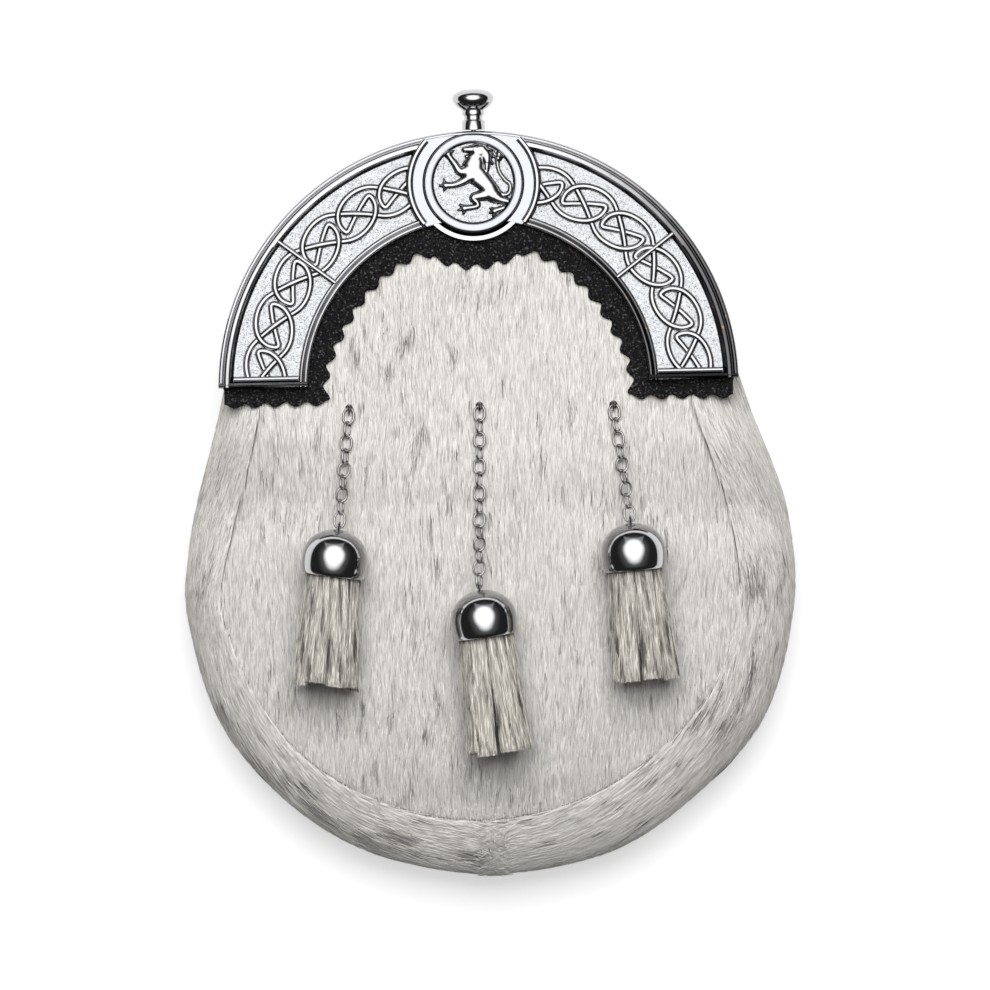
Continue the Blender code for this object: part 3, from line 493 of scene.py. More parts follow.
def turned(direction, up, angle):
    """The direction turned about the surface's normal, in radians."""
    across = np.cross(up, direction)
    return direction * np.cos(angle)[:, None] + across * np.sin(angle)[:, None]


def sway(places, ripples, rng):
    """How far hairs turn aside, in radians: the sum of the ripples, each given as reach, size and seed, and a
    little at random."""
    angle = sum(reach * ripple(places, size, seed) for reach, size, seed in ripples)
    return angle + rng.normal(0, STRAYING, len(places))


PALE_HAIR = np.array([0.66, 0.642, 0.612])
GREY_HAIR = np.array([0.25, 0.24, 0.228])
DARK_HAIR = np.array([0.035, 0.028, 0.025])
DARKER_HAIRS = 0.27  # the share of hairs that stand out a little
DARKER_TONES = (0.2, 0.7)  # theirs, from pale at 0 to grey at 1
PALE_TONES = (1.2, 6.0)  # the shape of the beta distribution of the others' tones
TINT_SPREAD = 0.03
TINT = (1.0, 1.1, 1.25)  # how much of that each colour takes
STRUCK_SHARES = (0.5, 1.0)  # how dark a hair gets in a smudge
COLOR_LIMITS = (0.02, 0.95)
ROOT_SHADE = 0.85
TIP_DARKNESS = 0.6  # of the middle's
SMUDGE_TABLE = (
    # dark smudges on the front and the gusset: x, y, half width, half length, strength
    (-27.5, 44.1, 2, 2.8, 1), (-9.7, 59.1, 1.3, 2.2, 0.78), (-42.5, 40, 1.3, 2.4, 0.91),
    (-32.5, 35.6, 1.3, 2.6, 0.91), (-12.5, 39.7, 1.3, 2.6, 0.78), (-24.7, 47.8, 1.2, 2, 0.78),
    (-22.5, 15.3, 2.2, 4.4, 0.78), (-43.8, 43.4, 1, 2, 0.78), (-13.4, -5.9, 1.3, 3, 0.91),
    (-17.2, -25.3, 1.2, 2.8, 1), (-11.6, 9.1, 1.2, 2.6, 0.65), (15.9, 6.9, 1.3, 3, 0.78),
    (24.4, 21.6, 1.3, 2.8, 0.65), (35.3, -6.6, 1.3, 3, 0.78), (-24.1, -44.4, 1.4, 3.2, 0.78),
    (-17.2, -66.9, 1.4, 3.2, 0.78), (-20.3, -77.8, 1.2, 2.6, 0.78), (-36.3, -88.4, 1.2, 2.6, 0.78),
    (-40, -93.1, 1, 2.4, 0.65), (-25.3, -95, 1.2, 2.6, 0.65), (-47.8, -71.9, 1.2, 2.8, 0.65),
    (-40.6, -68.8, 1.2, 3, 0.78), (-27.5, -99.4, 1.2, 2.4, 0.65),
    (-84.4, -70.6, 1.6, 5, 1), (-65.9, -93.4, 1.7, 3.6, 0.91), (-58.1, -95.6, 1.6, 3.2, 0.91),
    (-29.4, -110.6, 2, 6, 1), (-5.6, -117, 2, 4, 1), (-55, -103, 1.8, 9, 1),
    (-40, -111, 2, 8, 0.91), (-74, -87, 2, 8, 0.78), (81.9, -30.9, 3.6, 7, 0.78),
    (65, -73, 1.6, 6, 0.78), (69.7, -69, 1.3, 5, 0.78), (72.2, -75.6, 1.6, 4, 0.78),
    (81.3, -57.8, 1.2, 7, 0.91),
)
SMALL_SMUDGES = 420
SMALL_SMUDGE_RANGES = ((-96, 96), (-122, 80), (0.4, 1.2), (1.2, 3.2), (0.15, 0.7))  # of the same columns
SMUDGE_PLACES = (4.0, 5.0)  # how far along a front hair and a gusset hair its middle lies


def smudged(places, table, heading):
    """How dark the hair's middle is, from 0 to 1: the strongest of many smudges, each a bell curve across and
    along the hair's heading."""
    dark = np.zeros(len(places))
    for x, y, half_width, half_length, strength in table:
        off = places - (x, y)
        near = np.abs(off).max(1) < 3 * half_length
        off, lay = off[near], heading[near]
        along = (off * lay).sum(1) / half_length
        across = (off[:, 0] * lay[:, 1] - off[:, 1] * lay[:, 0]) / half_width
        dark[near] = np.maximum(dark[near], strength * np.exp(-(along**2) - across**2))
    return dark


def hair_colors(rng, dark, shade_and_tone=0.0):
    """Pale hairs and some darker ones, all greyer by the given share, which on the gusset holds painted
    shade, painted light where it is negative, and tone. Inside smudges the middles and tips of many are
    nearly black."""
    count = len(dark)
    stands_out = rng.random(count) < DARKER_HAIRS
    tone = np.where(stands_out, rng.uniform(*DARKER_TONES, count), rng.beta(*PALE_TONES, count))
    tone = np.clip(tone + shade_and_tone, 0, 1)[:, None]
    base = PALE_HAIR * (1 - tone) + GREY_HAIR * tone
    base = base * (1 + rng.normal(0, TINT_SPREAD, (count, 1)) * TINT)
    struck = (rng.random(count) < dark)[:, None] * rng.uniform(*STRUCK_SHARES, (count, 1))
    middle = base * (1 - struck) + DARK_HAIR * struck
    struck = struck * TIP_DARKNESS
    tip = base * (1 - struck) + DARK_HAIR * struck
    return np.clip(np.stack([base * ROOT_SHADE, middle, tip]), *COLOR_LIMITS)


hide_finish = Finish("hide_skin", Roughness=0.8)
hide_color = hide_finish.mixed(hide_finish.noise(6.0), (0.32, 0.3, 0.28, 1), (0.42, 0.4, 0.37, 1))
hide_finish.set(Base_Color=hide_color)
front_top = front_surface(*disc_grid(rings=16, spokes=150))
piece("front_panel_hide", *shell(front_top, front_top - (0, 0, HIDE)), hide_finish, "hide", ["front_panel"])


def grows(place):
    """Where hair grows: in the arch's opening, which flares with the sixth power of x, and below the legs."""
    x, y = (place[:, :2] - ARCH_CENTER).T
    in_opening = np.hypot(x, y) < OPENING + OPENING_FLARE * np.abs(x / OPENING) ** 6
    return in_opening | (y < OPENING_FLOOR)


def within_front(place):
    """How far places lie inside the panel's outline, along the line from its middle."""
    edge = front_edge(np.linspace(0, 1, OUTLINE_STEPS, endpoint=False)) - FRONT_MIDDLE
    spoke = place - FRONT_MIDDLE
    at, known = (np.arctan2(line[:, 1], line[:, 0]) for line in (spoke, edge))
    reach = np.interp(at, known, np.linalg.norm(edge, axis=1), period=2 * np.pi)
    return reach - np.linalg.norm(spoke, axis=1)


rng = np.random.default_rng(11)
small = np.column_stack([rng.uniform(low, high, SMALL_SMUDGES) for low, high in SMALL_SMUDGE_RANGES])
smudges = [*SMUDGE_TABLE, *small]
for coat_name, rise, *ripples in FRONT_COATS:
    out, around = scatter(front_surface, int(FRONT_HAIRS * SPARE_HAIRS), rng)
    root, _, _, up = on_surface(front_surface, out, around)
    grown = np.flatnonzero(grows(root))[:FRONT_HAIRS]
    root, up = root[grown], up[grown] * np.sign(up[grown, 2:])
    count = len(root)
    along = turned(tangent_part((0, -1, 0), up), up, sway(root[:, :2], ripples, rng))
    dark = smudged(root[:, :2] + along[:, :2] * SMUDGE_PLACES[0], smudges, along[:, :2])
    length = rng.uniform(*FRONT_HAIR_LENGTHS, count)
    past = np.maximum(-within_front((root + along * length[:, None])[:, :2]), 0)
    outward = (along[:, :2] * unit(root[:, :2] - FRONT_MIDDLE)).sum(1)
    length = np.maximum(length - past / np.maximum(outward, SEAM_SLANT), SHORTEST_HAIR)
    width, lift = rng.uniform(*FRONT_HAIR_WIDTHS, count), rise * rng.uniform(*LIFT_SPREAD, count)
    coat(coat_name, root, up, along, length, width, lift, hair_colors(rng, dark))

# ------------------------------------------------------------------ gusset
# A bulged strip of the same hide between the front and the back, sewn to both. Its hair runs round the pouch
# from the arch's two legs and meets in a whorl at the bottom.
SIDE_HEIGHT = 0.42  # its widest line, as a share of its depth
GUSSET_TUCK = 3.0  # how far its lower edge runs in under it
BACK_LEATHER = 2.2
BACK_PROFILE = ((-125, 0.0), (4, 0.0), (28, 3.6), (50, 7.3), (125, 7.3))
BULGE_SHARE = 0.64  # of the section, from the seam to the widest line
GAP = 0.3  # between neighbours
SEAM_ROOM = 0.2
POUCH_MIDDLE = np.array([0.0, -20.0, 12.0])
POUCH_TOP = np.array([0.0, -20.0, 40.0])
GUSSET_HAIRS = 34500
GUSSET_COATS = (
    # name, lift, and the ripples of its hairs: reach in radians, size, seed
    ("gusset_hair_under", 0.45, (0.04, 36, 6), (0.04, 10, 8)),
    ("gusset_hair_over", 0.75, (0.04, 36, 7), (0.04, 10, 9)),
)
GUSSET_HAIR_LENGTHS = (7.0, 12.0)
GUSSET_HAIR_WIDTHS = (0.13, 0.27)
GUSSET_SLANT = 0.04  # how far its hair runs down the bulge, in radians
GUSSET_BEND = 0.75
WHORL_X = 0.5
WHORL_TOP = -90.0
WHORL_REACH = 13.0
WHORL_TURNS = (0.75, 0.55)  # how far its hairs turn down, in radians: in the middle, and how unevenly
WHORL_SHORTER = 0.35
WHORL_HIGHER = 0.8
STRAY_HAIRS = 0.0012  # the share of hairs that stand off
STRAY_LIFTS = (1.5, 4.0)
STRAY_WIDTH = 0.09
STRAY_BEND = 0.47  # nearly straight
BULGE_RADIUS = 14.0  # across the strip
STRIP_RADIUS = 95.0  # along it
SEAM_LIFT = (1.1, 0.14)  # how much higher the hair stands beside the seam, and how far over
BULGE_SHADE = 0.24  # painted shade: how much greyer its hair gets over the bulge, where it turns down towards the table
BULGE_SHADE_OVER = (0.3, 0.6)  # where that begins and is full
BULGE_SHADE_DOWN = ((-70.0, 23.5), (1.0, 0.15))  # how full that painted shade is at these y
BOTTOM_PAINTED_LIGHT = ((-100.0, -60.0), (0.22, 0.0))  # painted light: how much paler its hair is at these y, along the bottom
GREY_WHORL = 0.12
GUSSET_PAINTED_LIGHT = 0.05  # painted light: how much paler than the front, which shows on the crown beside the seam


def back_height(y):
    """The leather's underside: flat below, and up to the belt loops along a smooth step."""
    return smooth_value(BACK_PROFILE, y)


def open_ends(rows):
    """The rows with one more at each end, as far out as the last step."""
    rows = np.asarray(rows, float)
    return np.vstack([2 * rows[0] - rows[1], rows, 2 * rows[-1] - rows[-2]])


def gusset_surface(along, over):
    """From the left leg round to the right one, and over the bulge from the seam: a quarter ellipse out to
    the widest line, then a parabola tucked in to the back."""
    lines = spline(open_ends(SEAM_TABLE), along * (len(SEAM_TABLE) - 1))
    seam, side = lines[..., :2], lines[..., 2:]
    out = unit(side - seam)
    reach = np.linalg.norm(side - seam, axis=-1)
    crown = front_height(seam[..., 0], seam[..., 1]) - GAP
    bottom = back_height(side[..., 1]) + BACK_LEATHER + GAP
    middle = bottom + SIDE_HEIGHT * (crown - bottom)
    angle = np.clip(over / BULGE_SHARE, 0, 1) * np.pi / 2
    tuck = np.clip((over - BULGE_SHARE) / (1 - BULGE_SHARE), 0, 1)
    place = seam + out * (reach * np.sin(angle) - GUSSET_TUCK * tuck**2 + SEAM_ROOM)[..., None]
    return raised(place, middle + (crown - middle) * np.cos(angle) + (bottom - middle) * tuck)


def away(directions, points, middle):
    """The directions, each turned round where it points to the side of the middle."""
    return directions * np.sign((directions * (points - middle)).sum(-1, keepdims=True))


along, over = np.meshgrid(np.linspace(0, 1, 170), np.linspace(0, 1, 18), indexing="ij")
outer, _, _, up = on_surface(gusset_surface, along, over)
inner = outer - away(up, outer, POUCH_MIDDLE) * HIDE
sheet = np.concatenate([outer, inner[:, ::-1]], axis=1)
piece("gusset_hide", *loft(sheet, "ladder"), hide_finish, "hide", ["gusset"])

for coat_name, rise, *ripples in GUSSET_COATS:
    along, over = scatter(gusset_surface, GUSSET_HAIRS, rng, (300, 60))
    root, lay, across, up = on_surface(gusset_surface, along, over)
    count = len(root)
    down = away(across, root, POUCH_TOP)
    to_bottom = np.where(along < 0.5, 1.0, -1.0)[:, None]
    whorl = np.clip(1 - np.abs(root[:, 0] - WHORL_X) / WHORL_REACH, 0, 1) * (root[:, 1] < WHORL_TOP)
    angle = GUSSET_SLANT + sway(root, ripples, rng) + whorl * rng.normal(*WHORL_TURNS, count)
    lay = unit(to_bottom * lay * np.cos(angle)[:, None] + down * np.sin(angle)[:, None])
    dark = smudged(root[:, :2] + lay[:, :2] * SMUDGE_PLACES[1], smudges, lay[:, :2])
    # painted shade greys the hair over the bulge and towards the bottom, the whorl is greyer in tone, and
    # painted light makes all of it paler than the front and more so along the bottom
    shade_and_tone = BULGE_SHADE * np.interp(over, BULGE_SHADE_OVER, (0, 1)) * np.interp(root[:, 1], *BULGE_SHADE_DOWN) + GREY_WHORL * whorl
    shade_and_tone = shade_and_tone - GUSSET_PAINTED_LIGHT - np.interp(root[:, 1], *BOTTOM_PAINTED_LIGHT)
    stray = rng.random(count) < STRAY_HAIRS
    length = rng.uniform(*GUSSET_HAIR_LENGTHS, count) * (1 - WHORL_SHORTER * whorl)
    curving = np.sin(angle) ** 2 / BULGE_RADIUS + np.cos(angle) ** 2 / STRIP_RADIUS
    sag = np.where(stray, 0, length**2 / 2 * curving)
    lift = rise * rng.uniform(*LIFT_SPREAD, count) * (1 + WHORL_HIGHER * whorl)
    lift *= np.where(stray, rng.uniform(*STRAY_LIFTS, count), 1)
    lift += SEAM_LIFT[0] * np.clip(1 - over / SEAM_LIFT[1], 0, 1)
    width = np.where(stray, STRAY_WIDTH, rng.uniform(*GUSSET_HAIR_WIDTHS, count))
    colors = hair_colors(rng, dark, shade_and_tone)
    coat(coat_name, root, away(up, root, POUCH_MIDDLE), lay, length, width, lift, colors, sag=sag,
         bend=np.where(stray, STRAY_BEND, GUSSET_BEND))

# ------------------------------------------------------------------ back and belt loops
# Black leather, cut a little smaller than the gusset's widest line, with two loops for a sporran strap.
SIDE = [row[2:] for row in SEAM_TABLE]
BACK_TOP = [(54.0, 88.0), (-4.0, 107.0), (-62.0, 88.0)]
BACK_MIDDLE = (-4.0, 20.0)
BACK_INSET = 3.2
BACK_SHOW = (5.2, -54.0, 11.0)  # how far its edge comes out at the lower right, where in degrees, how wide
LOOP_X = {"belt_loop_left": -40.0, "belt_loop_right": 34.0}
LOOP_WIDTH = 18.0
LOOP_LEATHER = 1.9
LOOP_TABLE = (
    # y, height of its middle line
    (58.0, 5.8), (63.0, 5.8), (66.0, 0.95), (87.0, 0.95), (90.0, 5.8), (96.0, 5.8),
)


def back_edge(around):
    """Its outline, once round: the gusset's widest line, drawn in by the inset less a bell curve where it
    shows."""
    rows = SIDE + BACK_TOP
    spoke = spline(rows[-1:] + rows + rows[:2], around % 1.0 * len(rows)) - BACK_MIDDLE
    reach = np.linalg.norm(spoke, axis=-1, keepdims=True)
    shown, where, width = BACK_SHOW
    off = (np.degrees(np.arctan2(spoke[..., 1:], spoke[..., :1])) - where) / width
    return BACK_MIDDLE + spoke * (1 - (BACK_INSET - shown * np.exp(-(off**2))) / reach)


leather_finish = Finish("black_leather", Base_Color=(0.01, 0.01, 0.011, 1), Roughness=0.4,
                        Specular_IOR_Level=0.35)
out, around = disc_grid(rings=14, spokes=180)
place = spread(BACK_MIDDLE, back_edge(around), out)
under = raised(place, back_height(place[..., 1]))
back = shell(under + (0, 0, BACK_LEATHER), under)
piece("back_panel_leather", *back, leather_finish, "black_leather", ["back_panel"], smooth_angle=40)

for name, x in LOOP_X.items():
    y = np.linspace(LOOP_TABLE[0][0], LOOP_TABLE[-1][0], 77)
    rows = np.column_stack([y, smooth_value(LOOP_TABLE, y)])
    heading = unit(np.gradient(rows, axis=0))
    outward = np.column_stack([-heading[:, 1], heading[:, 0]]) * LOOP_LEATHER / 2
    ring = np.vstack([rows + outward, (rows - outward)[::-1]])
    across = np.linspace(-1, 1, 9) * LOOP_WIDTH / 2
    sides = np.stack([np.column_stack([np.full(len(ring), x + shift), ring]) for shift in across])
    loop = loft(sides, "ladder")
    piece(name + "_leather", *loop, leather_finish, "black_leather", [name], smooth_angle=40)

# ------------------------------------------------------------------ leather under the arch
# Black pebbled leather between the arch and the hide. It shows round the arch's inner edge and below its
# legs, cut there in small bites between points.
ARCH_TURN = 1.2  # degrees counter-clockwise
ARCH_OUTER = (81.1, 79.7)
ARCH_INNER = (53.1, 51.9)
ARCH_WIDTH = ARCH_OUTER[0] - ARCH_INNER[0]
MEDALLION_CENTER = (-0.3, 63.3)
CANTLE_LEATHER = 1.6
LEATHER_OUTER_INSET = 1.4
LEATHER_INNER = (43.9, 2.7)  # radius at the top, and how much more it is at the legs
LEATHER_DIP = 27.3  # radius about the medallion where it dips under it
LEATHER_BEND = 24  # how tightly it turns into the dip
LEATHER_ANGLES = (-7.0, 187.0)
LEATHER_END = -5.5
LEATHER_END_SHARE = 0.035  # of its length, at either end
LEATHER_LEG_MARGIN = 1.7
SCALLOP_PITCH = 6.2
SCALLOP_DEPTH = 1.9
SCALLOP_POINT = 2.4  # the more, the narrower its bites
RADIAL_BOWING = 22.0
EDGE_ROUND = 0.4
EDGE_SHARES = (0.015, 0.002)  # of the width and the length, over which the edges are rounded
PEBBLES = 1.5  # to the mm
PEBBLE_DEPTH = 0.4
GLINT_SIZE = 0.7
GLINT_EDGES = (0.56, 0.7)


def polar(radius, degrees):
    """Places at this radius and this angle from +X, by its cosine and sine."""
    angle = np.radians(degrees)
    return np.stack([radius * np.cos(angle), radius * np.sin(angle)], axis=-1)


def lay_on_front(points, lift):
    """From the arch's flat drawing to its place on the front: turned a little, moved to its centre, and
    raised by the front's height there."""
    turn = math.radians(ARCH_TURN)
    x = points[..., 0] * math.cos(turn) - points[..., 1] * math.sin(turn) + ARCH_CENTER[0]
    y = points[..., 0] * math.sin(turn) + points[..., 1] * math.cos(turn) + ARCH_CENTER[1]
    return np.stack([x, y, front_height(x, y) + lift + points[..., 2]], axis=-1)


def arch_point(share, degrees):
    """A point of the band in the drawing, from its inner edge at share 0 to its outer edge at 1."""
    half_width, half_height = (low + (high - low) * share for low, high in zip(ARCH_INNER, ARCH_OUTER))
    angle = np.radians(degrees)
    return np.stack([half_width * np.cos(angle), half_height * np.sin(angle)], axis=-1)


def bite(distance, length):
    """How deep an edge of this length is cut at this distance: a power of |cos| of the bites so far."""
    bites = round(length / SCALLOP_PITCH)
    return SCALLOP_DEPTH * np.abs(np.cos(np.pi * distance / length * bites)) ** SCALLOP_POINT


def leather_edge(along):
    """Its inner edge before it is cut: round the opening, wider at the legs by a power of |cos|, and pushed
    out of a circle about the medallion by a sum of high powers."""
    low, high = LEATHER_ANGLES
    degrees = high + (low - high) * along
    reach = LEATHER_INNER[0] + LEATHER_INNER[1] * np.abs(np.cos(np.radians(degrees))) ** RADIAL_BOWING
    spoke = polar(reach, degrees) - MEDALLION_CENTER
    near = np.linalg.norm(spoke, axis=-1, keepdims=True)
    pushed = (near**LEATHER_BEND + LEATHER_DIP**LEATHER_BEND) ** (1 / LEATHER_BEND)
    return MEDALLION_CENTER + spoke / near * pushed


def leather_sheet(along, across):
    """From the left leg's end round to the right one's, and straight from the inner edge to the outer one.
    Its ends are brought to a level line, and every edge that shows is cut in bites."""
    low, high = LEATHER_ANGLES
    degrees = high + (low - high) * along
    even = np.linspace(0, 1, 2000)
    steps = np.linalg.norm(np.diff(leather_edge(even), axis=0), axis=1)
    distance = np.interp(along, even, np.concatenate([[0], np.cumsum(steps)]))
    inner = leather_edge(along)
    inner = inner + unit(inner) * bite(distance, steps.sum())[..., None]
    outer = arch_point(1 - LEATHER_OUTER_INSET / ARCH_WIDTH, degrees)
    side = np.sign(outer[..., 0]) * (ARCH_OUTER[0] - LEATHER_LEG_MARGIN)
    outer[..., 0] = np.where(outer[..., 1] < 0, side, outer[..., 0])
    place = inner + (outer - inner) * across[..., None]
    leg_width = ARCH_OUTER[0] - LEATHER_LEG_MARGIN - LEATHER_INNER[0] - LEATHER_INNER[1]
    end = np.clip(1 - np.minimum(along, 1 - along) / LEATHER_END_SHARE, 0, 1)
    y = place[..., 1] * (1 - end) + (LEATHER_END + bite(across * leg_width, leg_width)) * end
    return np.stack([place[..., 0], y], axis=-1)


# the steps are finer near the edges, which are rounded
end_steps = np.linspace(0, LEATHER_END_SHARE, 9)[:-1]
middle_steps = np.linspace(LEATHER_END_SHARE, 1 - LEATHER_END_SHARE, 290)
along = np.concatenate([end_steps, middle_steps, 1 - end_steps[::-1]])
across = np.concatenate([[0, 0.012], np.linspace(0.03, 0.97, 31), [0.988, 1]])
along, across = np.meshgrid(along, across, indexing="ij")
place = leather_sheet(along, across)
side_share, end_share = (np.minimum(way, 1 - way) / share for way, share in zip((across, along), EDGE_SHARES))
level = CANTLE_LEATHER - EDGE_ROUND * (1 - np.clip(np.minimum(side_share, end_share), 0, 1)) ** 2
sheet = np.concatenate([raised(place, level), raised(place, 0.0)[:, ::-1]], axis=1)
points, groups = loft(sheet, "ladder")
grain_finish = Finish("pebbled_leather", Roughness=0.38, Specular_IOR_Level=0.1)
cells = {"Vector": grain_finish.place(), "Scale": PEBBLES, "Smoothness": 0.5}
grain_finish.bump(grain_finish.node("TexVoronoi", {"feature": "SMOOTH_F1"}, cells), PEBBLE_DEPTH)
# painted glints: lighter specks in the leather's colour stand in for highlights on its pebbles
glints = grain_finish.noise(GLINT_SIZE, detail=3.0).between(*GLINT_EDGES)
grain_finish.set(Base_Color=grain_finish.mixed(glints, (0.004, 0.004, 0.0045, 1), (0.07, 0.07, 0.072, 1)))
points = lay_on_front(points, GAP)
piece("arch_leather", points, groups, grain_finish, "black_leather", ["cantle_leather"], smooth_angle=40)

# ------------------------------------------------------------------ cantle
# One white-metal casting, chromed: an arch with a stepped rim, a stippled ground, an interlaced band that
# runs under two dividers, and a round boss with a lion rampant.
LEG_END = 0.8
PLATE = 1.7
ARCH_SECTION = (
    # from the inner edge, height
    (0.0, 0.0), (0.0, 1.9), (0.2, 2.35), (0.6, 2.65), (1.0, 2.6), (1.2, 2.3), (1.4, 1.9), (1.6, 2.25),
    (1.8, 2.8), (2.1, 3.1), (2.45, 3.05), (2.7, 2.75), (3.0, 1.7), (7.1, 1.7), (11.2, 1.7), (15.3, 1.7),
    (19.4, 1.7), (23.25, 1.7), (24.0, 2.6), (24.2, 3.2), (24.6, 3.6), (25.3, 3.75), (26.0, 3.5), (26.45, 3.0),
    (26.7, 2.4), (26.95, 2.75), (27.4, 2.85), (27.8, 2.6), (28.0, 2.1), (28.0, 0.0),
)
POLISHED, STIPPLED, PAINTED_SHADE, BRUSHED, SHADED_LEGS = range(5)  # the kinds of chrome, in the order of CHROMES
ARCH_STEPS = {11: PAINTED_SHADE, **dict.fromkeys(range(12, 17), STIPPLED), 17: PAINTED_SHADE}  # the rest has painted shade down the legs
ARCH_RINGS = 361
COLLAR_LEVEL = 2.5  # the plain plate between the boss and the arcs beside it
COLLAR_FOOT = 1.0
COLLAR_EDGE = 26.8  # where the outer lip begins, which runs on past the plate
MOTIF_PITCH = 12.92  # degrees
MOTIF_SHIFT = 4.6
MOTIF_PAIRS = 9
MOTIF_RADIUS = 66.5
MOTIF_HALF_HEIGHT = 5.75
STRAND_TABLE = (
    # from one motif's centre to the next: along, in motifs, out, in half heights, and up, in mm
    (0.0, 0.0, -0.4), (-0.2, -0.28, -0.1), (-0.41, -0.5, 0.0), (-0.44, 0.02, 0.1), (-0.34, 0.52, 0.4),
    (-0.17, 0.86, 0.15), (0.05, 1.05, 0.0), (0.27, 1.08, 0.0), (0.47, 0.95, -0.1), (0.64, 0.68, -0.4),
    (0.81, 0.36, 0.0), (1.0, 0.0, 0.4),
)
BAR_CORNER = ((0.0, 0.62), (0.2, 0.34), (0.52, 0.11))  # in from the side, in half widths, and down
BAR_FOOT = (0.26, 0.8)  # how far its foot lies out and down
BAR_STEPS = {0: PAINTED_SHADE, 7: PAINTED_SHADE}  # its two feet, in painted shade
BAR_LIT = 0.25  # a foot is painted lit, in brushed chrome instead of painted shade, where it faces the knob and the light by more than this
STRAND = (0.92, 1.15)  # half width, height over the ground
STRAND_STEPS = 8  # from one point of its table to the next
DIVIDER = (0.75, 1.75)
DIVIDER_ANGLE = 37.3
DIVIDER_SPAN = (0.08, 0.88)  # of the band's width
END_BARS = (
    # up from the leg's end, in from its inner and outer edge, base, half width, height, kind
    (2.45, 3.0, 4.9, 1.7, 0.72, 1.9, POLISHED), (1.5, 2.6, 4.5, 1.7, 0.3, 0.2, PAINTED_SHADE),
    (0.66, 0.1, 0.1, 0.6, 0.64, 3.15, SHADED_LEGS),
)
SIDE_ARC = (20.0, 0.95, 2.25, 0.55)  # radius about the medallion, half width, height, width of its foot
SIDE_ARC_ANGLES = ((-38.6, 43.6), (136.6, 218.9))
MEDALLION_FIELD = 12.4
MEDALLION_PROFILE = (
    # radius, height
    (12.5, 2.7), (12.72, 3.0), (13.2, 3.2), (14.0, 3.38), (14.9, 3.32), (15.35, 3.15), (15.55, 2.98),
    (15.95, 2.55), (16.0, 1.2), (16.3, 1.3), (16.8, 2.3), (18.1, 2.3), (18.3, 2.0), (18.3, 0.0),
)
MEDALLION_SIDES = 300
MEDALLION_LIMIT = 0.992  # of the arch's outer edge, past which it doesn't reach
GROOVE_STEPS = (0, 6, 7, 8, 9)  # of this profile, in painted shade
RING_STEPS = range(1, 6)  # brushed
FIELD_LEVEL = 2.6
FIELD_ROWS = 84
FIELD_TOUCH = 0.05  # how much higher the lion's edge begins
FIELD_STEEP = 0.5  # a face whose normal rises less than this is in the lion's flank, painted dark as shade
LION_RISE = 1.6
LION_FULL_RADIUS = 0.14  # thinner limbs rise less, by this power of their radius
LION_THINNING = 0.6
LION_SPREAD = 5  # how sharply its limbs stay apart where they meet
